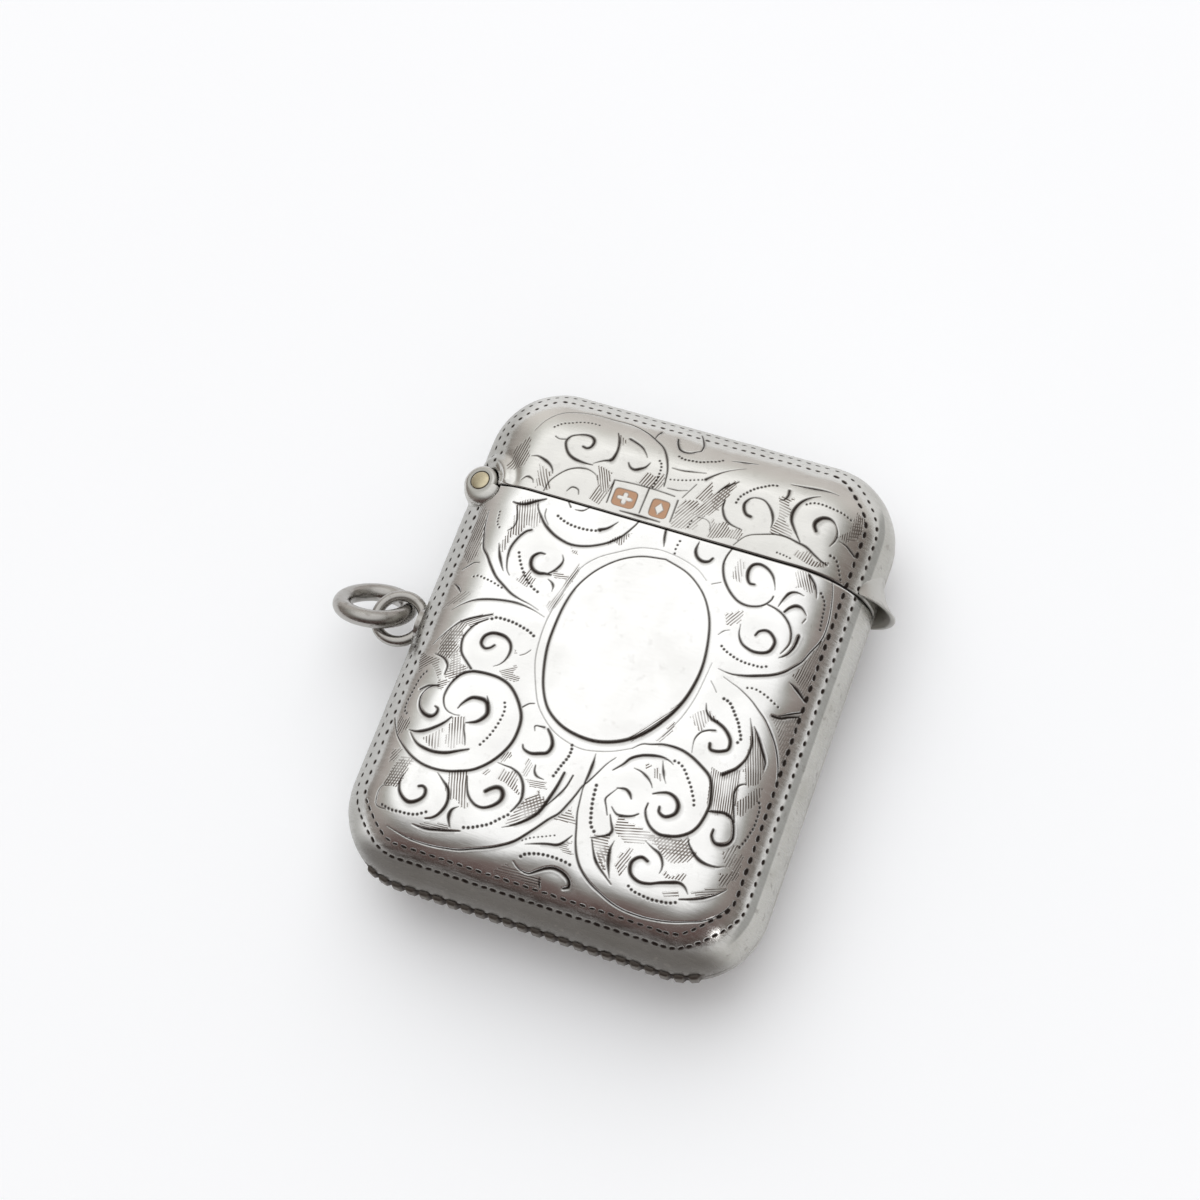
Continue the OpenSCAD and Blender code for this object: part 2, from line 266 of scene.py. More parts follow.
CUTS = {
    "left lower scroll": """
10 25 25 25 22 12 | -9.55,-8.6 -10,-8.65 -10.55,-8.55 -11,-8.2 -11.3,-7.5 -11.25,-6.7 -11,-6 -10.6,-5.4
  -10,-5 -9.3,-4.85 -8.5,-4.8 -7.7,-4.85 -6.9,-5.1 -6.2,-5.6 -5.5,-6.4 -5,-7.3 -4.85,-8.3 -4.95,-9.4
  -5.4,-10.5 -6.1,-11.5 -7,-12.3 -8,-12.75 -9,-13.05 -10,-13.15 -11,-13.05 -12,-12.7 -13,-12.1 -13.9,-11.4
  -14.5,-10.7 -15,-10;
12 30 42 38 12 | -9.9,-8.1 -9.7,-7.6 -9.2,-7 -8.6,-6.85 -8.1,-6.9 -7.8,-7.2 -7.6,-7.8 -7.8,-8.3 -8.2,-8.7
  -8.9,-9;
10 20 | -8.1,-6.5 -7.8,-7;
10 15 10 | -8.95,-9.1 -8.8,-9.6 -8.5,-10.2 -8.3,-10.7;
15 25 30 10 | -10.1,-8.9 -10.5,-9.5 -11,-10 -11.7,-10.5 -12.4,-10.75 -13.1,-10.75;
10 26 30 16 | -12.9,-10.9 -12.2,-11.5 -11.5,-11.8 -10.5,-11.9 -9.5,-11.7 -8.5,-11.2 -7.9,-10.9;
20 15 25 42 15 | -12.1,-6.8 -12.6,-6.95 -13,-7.3 -13.25,-7.9 -13.1,-8.6 -12.7,-9.05 -12.2,-9.3 -11.7,-9.3
  -11.4,-9 -11.4,-8.6 -11.7,-8.45;
20 20 10 | -13.6,-7.4 -13,-7 -12.3,-6.8;
10 22 15 | -13.5,-4.35 -12.9,-4.45 -12.4,-4.65 -12,-5.1 -11.95,-5.8;
20 28 30 20 8 | -9.05,-2.45 -9.3,-2.75 -9.7,-2.9 -10.1,-2.6 -10.05,-2 -9.6,-1.6 -9,-1.5 -8.4,-1.6 -7.9,-2
  -7.7,-2.6 -7.8,-3.3 -8.1,-3.8 -8.5,-4.1;
15 20 20 | -10.3,-0.6 -11,-1.2 -11.4,-1.8 -11.65,-2.6 -11.5,-3.4 -11.2,-3.9 -10.6,-4.4 -10.1,-4.8;
8 16 20 14 | -14.1,-3.6 -13.6,-2.9 -13,-2.1 -12.4,-1.4 -11.6,-0.9 -10.8,-0.5 -10.1,-0.15;
8 20 20 6 | -13.6,-0.6 -12.9,0 -12,0.55 -11,0.9 -10,1.15 -9,1.3 -8.2,1.3 -7.2,1.15 -6.15,0.85;
10 10 | -6.85,-2.65 -6.5,-2.4 -6.2,-2;
15 12 | -5.2,-6.5 -4.8,-6.1 -4.4,-5.95;
""",
    "foot of the left side": """
10 24 36 30 22 | -12,-14.2 -12.1,-14.8 -11.9,-15.5 -11.4,-16 -10.8,-16.2 -10.2,-15.9 -9.85,-15.4
  -9.9,-14.9 -10.2,-14.7 -10.5,-14.8;
10 25 25 15 | -9.5,-13.35 -8.9,-13.8 -8.3,-14.3 -8,-15 -8,-15.7 -8.3,-16.4 -8.7,-16.8 -9.15,-17;
10 13 10 | -13.15,-15.3 -13.55,-15.7 -13.65,-16.3 -13.5,-17 -13,-17.2 -12.5,-17.2;
8 30 8 | -7,-15.35 -7.4,-15.7 -7.5,-16.2 -7.35,-16.7 -7.1,-17.1;
10 28 25 12 | -10,-17.7 -9,-17.75 -8,-17.55 -7,-17.3 -6.3,-17.1;
8 16 20 22 20 16 10 | -12,-18.4 -11,-18.65 -10,-18.85 -9,-18.9 -8,-18.85 -7,-18.7 -6,-18.5 -5,-18.1
  -4,-17.7 -3,-17.2 -2,-16.5 -1,-15.3 -0.2,-14.2 0.4,-13.5 0.8,-12.6 1.1,-11.8 1.35,-11 1.7,-10.4 2.1,-9.6
  2.5,-8.8 3,-8.1;
12 20 25 42 36 | -7.25,-12.9 -7,-13.6 -6.7,-14.2 -6.3,-14.6 -5.8,-14.85 -5.2,-14.85 -4.6,-14.5 -4.2,-14
  -4.15,-13.5 -4.4,-13.1 -4.8,-13.05 -5.2,-13.3 -5.5,-13.6;
10 20 24 15 | -5.4,-11.2 -4.8,-11.25 -4.2,-11.3 -3.5,-11.6 -3,-12.2 -2.75,-12.9 -2.7,-13.5 -2.9,-14.1
  -3.1,-14.5;
8 30 28 20 | -3.3,-15.85 -2.5,-15.4 -1.8,-14.8 -1.2,-14.1 -0.9,-13.4 -0.65,-12.4 -0.45,-11.5 -0.3,-10.4;
15 18 10 | 0.4,-10.4 0.2,-11.4 -0.15,-12.2 -0.6,-13 -0.9,-13.5;
12 20 10 | -2.6,-10.5 -2.5,-11 -2.2,-11.3 -1.6,-11.4;
8 18 24 12 | -1.2,-16.5 -0.3,-16.2 0.4,-16 1.1,-15.85 1.5,-15.5 1.95,-14.8;
10 20 36 45 28 | -1.7,-18 -1.3,-18.35 -0.8,-18.55 -0.3,-18.55 0.2,-18.2 0.8,-17.8 1.4,-17.6 2.1,-17.7
  2.7,-18.1 2.85,-18.6 2.5,-18.85;
10 20 15 | 0.55,-18.6 0.6,-19 0.75,-19.4;
""",
    "below the oval": """
10 18 | -3.6,-8 -3.7,-7.6 -3,-7.5;
20 32 32 15 | -2.7,-7.55 -2.2,-8.1 -1.95,-8.7 -2.1,-9.3 -2.6,-9.55 -3.3,-9.75 -3.9,-9.6 -4.1,-9.3;
8 24 20 12 | 1.45,-8.3 1.5,-9 1.5,-9.8 1.45,-10.6 1.45,-11.2;
12 16 20 20 18 14 10 | 1.45,-11.2 1.55,-12 1.7,-13 2,-14 2.3,-15 2.7,-16 3.2,-16.8 3.8,-17.4 4.5,-17.9
  5.3,-18.3 6.3,-18.75 7.3,-19 8.3,-19.05 9.3,-19 10.3,-18.85 11.3,-18.6 12.3,-18.25 13.2,-17.9 14,-17.3
  14.6,-16.6 15,-15.9;
""",
    "right lower scroll": """
10 22 25 25 28 15 | 3.9,-7.05 4.5,-6.5 5.2,-6.3 6,-6.05 6.8,-5.98 7.6,-6.05 8.4,-6.3 9.2,-6.7 10,-7.2
  10.4,-7.7 10.7,-8.5 10.9,-9.3 10.9,-9.9 10.8,-10.6 10.6,-11.3 10.2,-11.9 9.5,-12.4 8.7,-12.65 8,-12.7
  7.3,-12.4 6.8,-11.9 6.5,-11.3 6.5,-10.7;
12 24 25 10 | 3.1,-9.1 3.7,-8.4 4.1,-7.8 4.8,-7.35 5.6,-7.1 6.3,-7 6.9,-7.1 7.3,-7.3;
15 25 38 32 20 | 6.6,-9.9 7.1,-9.65 7.7,-9.5 8.3,-9.7 8.7,-10.2 8.7,-10.8 8.3,-11.2 7.9,-11.3 7.5,-11.1
  7.4,-10.7;
10 20 10 | 4.6,-8.45 5.2,-8.55 5.8,-8.85 6.2,-9.2 6.4,-9.5;
8 20 6 | 6.45,-7.25 6.7,-7.9 7,-8.5 7.25,-8.85;
12 20 26 12 | 3.9,-10.3 4.5,-10.2 4.9,-10.4 5.2,-10.8;
10 16 12 | 3.9,-10.4 3.5,-11 3.35,-11.4 3.6,-11.9 3.9,-12.5;
12 22 15 | 4,-11.8 4.5,-12.2 5.1,-12.2 5.7,-12 6.1,-11.7;
12 24 10 | 4.1,-12.4 4.4,-13 4.65,-13.5 4.5,-13.9 4,-14.2 3.4,-14.5;
12 22 10 | 3.45,-14.6 3.8,-15.3 4.2,-16 4.7,-16.5 5.3,-16.95 5.9,-17.4;
8 30 8 | 5.1,-14.2 5,-14.8 5.1,-15.5 5.3,-16.2 5.65,-17;
28 32 28 22 32 10 | 7.95,-14.9 7.5,-14.75 7.1,-14.95 6.85,-15.4 6.95,-16 7.3,-16.4 7.9,-16.6 8.6,-16.5
  9.3,-16.2 10,-15.95 10.7,-15.75 11.2,-15.9 11.6,-16.3;
8 25 10 | 7.3,-13.5 7.9,-13.8 8.6,-14.1 9,-14.6 9.15,-15.1 9.1,-15.5;
12 26 8 | 11.1,-16.9 12,-16.6 12.8,-16.2 13.5,-15.7 14,-15.2 14.25,-14.9;
8 30 8 | 10.1,-12.1 10.5,-12.8 11,-13.3 11.6,-13.65 12.3,-13.75 13,-13.65 13.5,-13.4;
20 26 30 36 20 | 10.9,-9.9 11.6,-9.75 12.2,-9.65 12.8,-9.8 13.1,-10.2 13.3,-10.7 13.4,-11.2 13.2,-11.7
  12.7,-12 12.2,-12 11.85,-11.6 11.8,-11.1;
10 20 20 15 | 13,-6.95 12.5,-7.3 12.35,-7.9 12.5,-8.5 12.8,-9.3 13.1,-10;
""",
    "right of the oval": """
25 30 30 25 10 | 9.35,-4.9 9.5,-5.3 9.9,-5.35 10.4,-5.2 10.8,-4.9 10.75,-4.3 10.4,-3.8 9.9,-3.4 9.3,-3.15
  8.8,-3 8.3,-2.6 8.05,-2;
18 15 6 | 9.4,-3.8 8.9,-3.95 8.4,-4.3 8.15,-4.9 8.2,-5.5 8.3,-6;
8 20 22 36 | 11.6,-2.1 12,-2.9 12.35,-3.8 12.4,-4.6 12.3,-5.3 11.9,-6.1 11.5,-6.5 11.05,-6.9;
10 30 36 15 | 12.1,-2.6 12.7,-3.3 13.3,-4.1 13.8,-4.8 13.9,-5.4;
8 12 14 20 20 10 | 8.6,0.4 9.3,0.15 10,-0.1 10.7,-0.45 11.3,-0.8 12,-1.3 12.7,-1.8 13.4,-2.5 14.1,-3.3
  14.6,-4.1 15,-5 15.3,-6.2;
30 30 20 | 13.1,-1.3 13.8,-1.2 14.4,-0.85 15.2,-0.45;
12 24 20 | 13.6,-1.1 14.3,-0.65 15.2,-0.1;
10 36 20 | 13.5,1.65 14.2,1.4 14.8,1.1 15.2,0.85;
8 25 20 20 16 10 | 8,0.9 9,0.8 10,0.95 11,1.25 12,1.65 12.8,2.2 13.4,2.9 13.9,3.6 14.3,4.6 14.7,5.5
  14.9,6.4 14.85,7.6 14.6,8.8 14.3,9.8 14,10.45;
20 26 30 25 20 8 | 9.8,4.3 10,4.7 10.5,4.9 11,4.7 11.4,4.2 11.3,3.5 10.9,3.15 10.2,3 9.6,3.1 9,3.4 8.6,4
  8.45,4.8;
15 20 20 10 | 9.9,6.95 10.6,6.8 11.3,6.5 12,5.9 12.4,5.2 12.5,4.5 12.3,3.9 12.1,3.5;
36 26 10 | 13,5.3 12.95,4.5 12.7,3.8 12.4,3.4 12.1,3.15;
20 30 25 20 8 | 8.4,8.2 8,8.2 7.7,8.6 7.6,9.2 7.8,9.7 8.3,9.9 8.9,9.75 9.4,9.4 9.7,9 9.95,8.5 10.05,8.2;
15 20 20 15 | 5.8,10.45 5.6,9.7 5.6,9 5.9,8.2 6.3,7.6 6.9,7 7.6,6.55 8.3,6.4 9,6.5 9.6,6.8 10,7.3
  10.1,7.7;
10 25 10 | 10.7,7 10.9,7.7 11.2,8.3 11.7,8.55 12.3,8.5;
20 30 10 | 11.3,6.75 11.6,7.2 12,7.5 12.5,7.5 13,7.1;
12 10 | 13.05,6.8 12.9,6.4;
24 24 10 | 12.2,10.2 12.8,9.7 13.1,9.2 13.3,8.7;
10 10 | 5.25,7.25 5.9,7.6;
8 12 6 | 7.1,3.5 7.4,3.9 7.8,4.1;
8 8 | 7.8,-0.2 8.2,-0.6 8.5,-0.95;
10 26 30 20 | 3.2,10.3 3.15,9.6 3.4,9.1 3.9,8.85 4.4,8.95 4.65,9.3;
20 20 10 | 0.4,10.4 0.5,9.8 0.7,9.1;
""",
    "left of the oval": """
12 25 22 20 20 14 | -10,9.6 -9.8,9.2 -9.3,8.6 -8.8,8.1 -8,7.6 -7.2,7.3 -6.4,7.15 -5.5,7.25 -4.5,7.6
  -3.5,8.2 -2.7,9 -2.1,10 -1.9,10.45;
10 12 10 | -9.2,9.4 -9.1,8.8 -8.6,8.2;
10 20 30 | -3.4,10 -4,9.3 -4.6,8.95;
15 30 15 | -9.5,10.2 -10.2,9.8 -10.9,9.35 -11.5,9.2 -12,9.25;
12 15 10 | -11.6,9 -11.3,8.4 -11.1,7.8 -11.15,7.2 -11.5,6.8;
10 20 22 20 6 | -13.9,8.2 -13.7,7 -13.4,6 -13,5 -12.4,4.4 -11.8,3.7 -11,2.9 -10.2,2.4 -9.4,1.95 -8.6,1.7
  -7.6,1.5 -6.8,1.25;
20 20 10 | -9.7,7.4 -10.1,7.1 -10.5,6.4 -10.75,5.5 -10.7,4.7 -10.5,4 -10.3,3.6 -10,3.3;
8 25 10 | -11.8,5.6 -11.4,4.7 -10.9,3.9 -10.6,3.5;
15 30 36 16 | -7.95,5.8 -8.4,5.75 -8.8,5.3 -8.75,4.7 -8.4,4.3 -7.9,4.15 -7.4,4.25 -6.9,4.3;
15 22 10 | -7.2,4.3 -6.8,4.7 -6.5,5.2 -6.4,5.7 -6.6,6.1;
10 20 6 | -7,3.9 -6.6,3.7 -6.4,3.4 -6.35,3;
10 15 10 | -14.2,2.9 -13.7,3.3 -13.3,3.6 -12.8,3.7;
10 26 10 | -14.4,1.65 -13.9,1.4 -13.4,1;
12 16 | -7.7,10.45 -7.4,10.1;
10 16 10 | -7,10 -6.4,10.1 -6,10.45;
""",
    "lid": """
20 26 15 20 26 10 | -8.3,15.3 -7.95,15.25 -7.65,15.5 -7.6,16 -7.9,16.35 -8.4,16.4 -9,16.2 -9.5,15.9
  -9.75,15.4 -9.6,14.9 -9.2,14.4 -8.6,14.1 -7.8,14 -7,14;
12 12 | -10.7,15.5 -10.3,15.4 -9.7,15.55;
10 20 20 30 | -6.1,17.4 -5.8,16.9 -5.6,16.2 -5.55,15.6 -5.65,15 -5.8,14.8;
8 20 | -7,14.15 -6.4,14.55 -5.8,14.8;
8 25 10 | -12,13.4 -11.5,13.5 -11,13.4 -10.4,13.15 -10,12.8 -9.8,12.4;
12 12 15 8 | -9.95,10.8 -9.8,11.7 -9.3,12.5 -8.7,13.1 -8,13.45 -7.2,13.55 -6.5,13.3 -6.2,12.9;
8 18 8 | -12.1,11.2 -11.7,11.6 -11.2,11.5 -11,11.2;
10 15 10 | -8.2,11.3 -7.9,11.75 -7.4,11.7 -7.2,11.3;
5 10 10 12 18 18 12 | -12.6,15.6 -12,16.8 -11,17.9 -9.8,18.5 -8.4,18.8 -6.8,18.85 -5.4,18.85 -4,18.4
  -3,17.8 -2.2,17.2 -1.6,16.3 -1.2,15.3 -1.05,14.4 -1,13.9;
25 20 8 | -5,17.2 -4.4,17 -3.8,16.7 -3.3,16.2 -3.1,15.9;
15 26 10 | -4.35,15 -4.1,14.7 -3.7,14.6 -3.2,14.85 -2.9,15.1 -2.7,15.5;
20 10 | -3,19 -3.15,18.5 -3.2,18;
20 25 15 20 12 | -1.5,18.7 -1.35,18.2 -1,17.6 -0.5,17.4 0,17.5 0.4,17.8 0.65,18 0.65,18.6 0.5,19.1
  0.2,19.8 -0.05,20.3;
10 15 6 | -0.9,15.6 -0.1,15.6 0.8,15.75 1.8,15.95;
20 12 6 | 1.9,15.4 2.5,16 3.2,16.6 4,17.1 4.6,17.4;
8 20 8 | 3.3,17.8 4.2,18.05 5.3,18.25;
10 12 8 | -0.7,13.85 0.2,13.9 0.9,14.1;
10 10 | 0.7,13.4 1,14 1.4,14.8;
10 20 10 | 4.5,16 4,15.6 3.5,15.1 3.2,14.6;
15 20 10 | 3.95,14.2 4,13.5 4.4,12.8 5,12.4 5.7,12.25 6,12.2;
8 8 | 2.4,12.2 3.1,12.2 3.5,11.9 3.7,11.3;
25 25 12 16 22 10 | 6.3,13.45 5.9,13.55 5.6,13.9 5.5,14.4 5.8,14.9 6.3,15.1 6.9,15.05 7.4,14.7 7.8,14.2
  8.05,13.6 8.1,13;
25 20 6 | 8.45,16.5 8.5,16 8.35,15.6 8,15.4;
10 22 30 20 12 | 10.9,16.75 10.4,16.5 9.9,16.1 9.5,15.5 9.3,14.8 9.4,14.1 9.8,13.5 10.3,12.9 10.6,12.55;
30 42 26 10 20 8 | 11.5,13.8 11.25,14.2 11.3,14.6 11.7,15 12.3,15.1 12.8,14.8 13.15,14.2 13.15,13.6
  12.9,13;
10 12 15 20 15 | 5.8,10.8 6.3,11.6 6.8,12 7.6,12.3 8.6,12.6 9.5,12.65 10.3,12.5 11.2,12.3 12,11.9
  12.7,11.6 13.2,11.5;
8 20 20 | 13.5,13.7 14.1,13.6 14.6,13.4 15.1,13.15;
10 25 8 | 8.4,17.1 9.2,17.2 10.2,17.35 11.2,17.45 12.2,17.45;
""",
    "frames of the two punched marks": """
12 12 | -4.9,13.3 -3.5,13.42 -2.05,13.44 -1,13.42 0.1,13.35;
14 12 | -4.9,13.3 -4.87,12.3 -4.85,11.3;
14 12 | -2.05,13.4 -2.07,12.3 -2.1,11.2;
14 12 | 0.45,13.1 0.45,12.2 0.45,11.2;
12 20 12 | -3.6,10.95 -2,10.98 -0.3,10.95;
""",
    "the oval": """
15 16 18 22 30 34 32 26 20 22 20 16 15 15 | 1.2,8.15 3,7.65 4.3,6.85 5.3,5.8 6.1,4.3 6.6,2.4 6.8,0.4
  6.55,-1.6 6,-3.2 5.2,-4.6 4.2,-5.8 3,-6.7 1.6,-7.25 0.3,-7.4 -1.2,-7.2 -2.4,-6.7 -3.4,-5.9 -4.2,-4.6
  -4.75,-3 -5.1,-1.2 -5.15,0.5 -5.05,2.2 -4.7,3.8 -4,5.2 -3.1,6.3 -2,7.2 -0.6,7.85 1.2,8.15;
""",
}

OVAL_RIM = """
8 10 10 11 11 10 | 4.8,7.4 3.8,8.1 2.4,8.55 0.9,8.75 0,8.7 -1.2,8.4 -2.6,7.6 -3.8,6.8 -4.7,5.8 -5.2,4.6
  -5.5,3.2 -5.75,1.9 -5.9,0.5 -5.85,-1 -5.6,-2.6 -5,-4.2 -4.2,-5.8 -3.3,-6.8 -2.2,-7.6 -1,-8.05 0.2,-8.25
  1.3,-8.1 2.6,-7.7 3.9,-7.05;
6 9 10 8 | 7.4,1.2 7.3,0 7.15,-1.5 6.9,-2.7 6.6,-3.7 6.2,-4.6 5.8,-5.5;
"""

DOTS = """
36 12 | -12.9,-16.95 -12.3,-17.1 -11.9,-17.15 -11.2,-17.1 -10.5,-17.05 -9.9,-16.9 -9.25,-16.5;
34 13 | -3.2,-14.8 -3.7,-15.3 -4.3,-15.9 -5,-16.3 -5.6,-16.6 -6.1,-16.75;
30 8 | -1.5,-16.3 -0.9,-15.9 -0.2,-15.6 0.7,-15.2;
35 13 | -1.25,-17.5 -0.9,-17.2 0,-16.9 1,-16.8 2,-16.85 2.5,-16.95;
36 14 | 2.35,-10.6 2.45,-11.5 2.6,-12.3 2.8,-13 3,-13.6 3.4,-14;
35 12 | 7.2,-17.1 7.6,-17.35 8.2,-17.45 9,-17.55 9.7,-17.5 10.4,-17.4 10.9,-17.2;
33 12 | -13.6,-5.9 -13.9,-6.3 -14.1,-6.9 -14.2,-7.5 -14.3,-8.2 -14.35,-8.8 -14.2,-9.3 -13.9,-9.5;
34 11 | -6.6,-6.6 -6.4,-7.1 -6.4,-7.7 -6.5,-8.4 -6.65,-9 -6.85,-9.6 -7.2,-10.3;
33 13 | 9.2,-1.25 9.7,-1.4 10.1,-1.8 10.5,-2.3 10.9,-2.8 11.2,-3.4 11.45,-3.8 11.3,-4.2;
35 12 | 7.3,-7 7.8,-7.1 8.3,-7.5 8.7,-8 9.1,-8.5 9.4,-9 9.7,-9.5 9.8,-9.8;
34 13 | 14.4,-7.9 14.6,-8.3 14.65,-9 14.65,-9.7 14.5,-10.4 14.35,-11 14.1,-11.6;
34 12 | -9.95,5.3 -9.7,4.8 -9.3,4.2 -8.9,3.7 -8.4,3.2 -7.9,2.85 -7.4,2.65;
34 10 | -12.8,2.45 -12.4,2.6 -11.8,2.5 -11.2,2.4 -10.6,2.25 -10.2,2.15;
33 13 | -10,-0.5 -9.7,-0.3 -9,-0.25 -8.2,-0.3 -7.5,-0.45 -6.9,-0.6 -6.4,-0.85;
33 12 | -8.1,9.1 -7.8,8.95 -7.2,8.75 -6.5,8.65 -5.7,8.65 -5,8.75 -4.5,8.9;
30 9 | -12.8,8.2 -12.7,7.6 -12.6,7.2 -12.3,6.9;
34 11 | 7.65,2.7 8,2.45 8.5,2.25 9.1,2.05 9.8,1.95 10.4,1.95 11,1.98 11.4,2.15;
33 12 | 13.5,9.2 13.9,8.8 14.1,8.4 14.2,7.8 14.3,7.1 14.4,6.5;
34 10 | 10.6,0.1 11.1,0.2 11.7,0.1 12.2,-0.05 12.7,-0.25 13.3,-0.5;
32 13 | -0.5,-8.2 -0.4,-8.6 -0.45,-9.2 -0.7,-9.9 -0.85,-10.4 -1,-10.9;
32 10 | 1.75,9.9 1.65,9.3 1.7,8.8;
30 9 | -11.1,16.3 -10.6,16.8 -10,17.1 -9.4,17.4 -8.8,17.6 -8.2,17.7 -7.8,17.7;
30 10 | -2.05,15.9 -1.8,15.6 -1.7,15.1 -1.7,14.6 -1.75,14.1 -1.85,13.6;
30 11 | -0.75,16.8 -0.3,16.65 0.3,16.7 1,16.8 1.7,17.1 2.2,17.3 2.6,17.6;
30 8 | -0.7,14.6 0,14.75 0.7,14.95 1.4,15.2 2,15.4;
30 11 | 4.85,14.25 5,14.8 5.4,15.3 5.9,15.8 6.5,16.2 7,16.5 7.4,16.6;
31 10 | 10.1,15.7 10.5,15.95 11,16.05 11.6,16.05 12.3,16 13,15.95 13.5,15.8 13.8,15.7;
33 12 | 13.2,12.3 13.7,12.2 14.1,11.7 14.4,11.2 14.6,10.9;
30 8 | 9.2,11.2 9.7,11.15 10.3,11.05;
30 8 | 2.05,11.75 1.95,11.2;
"""

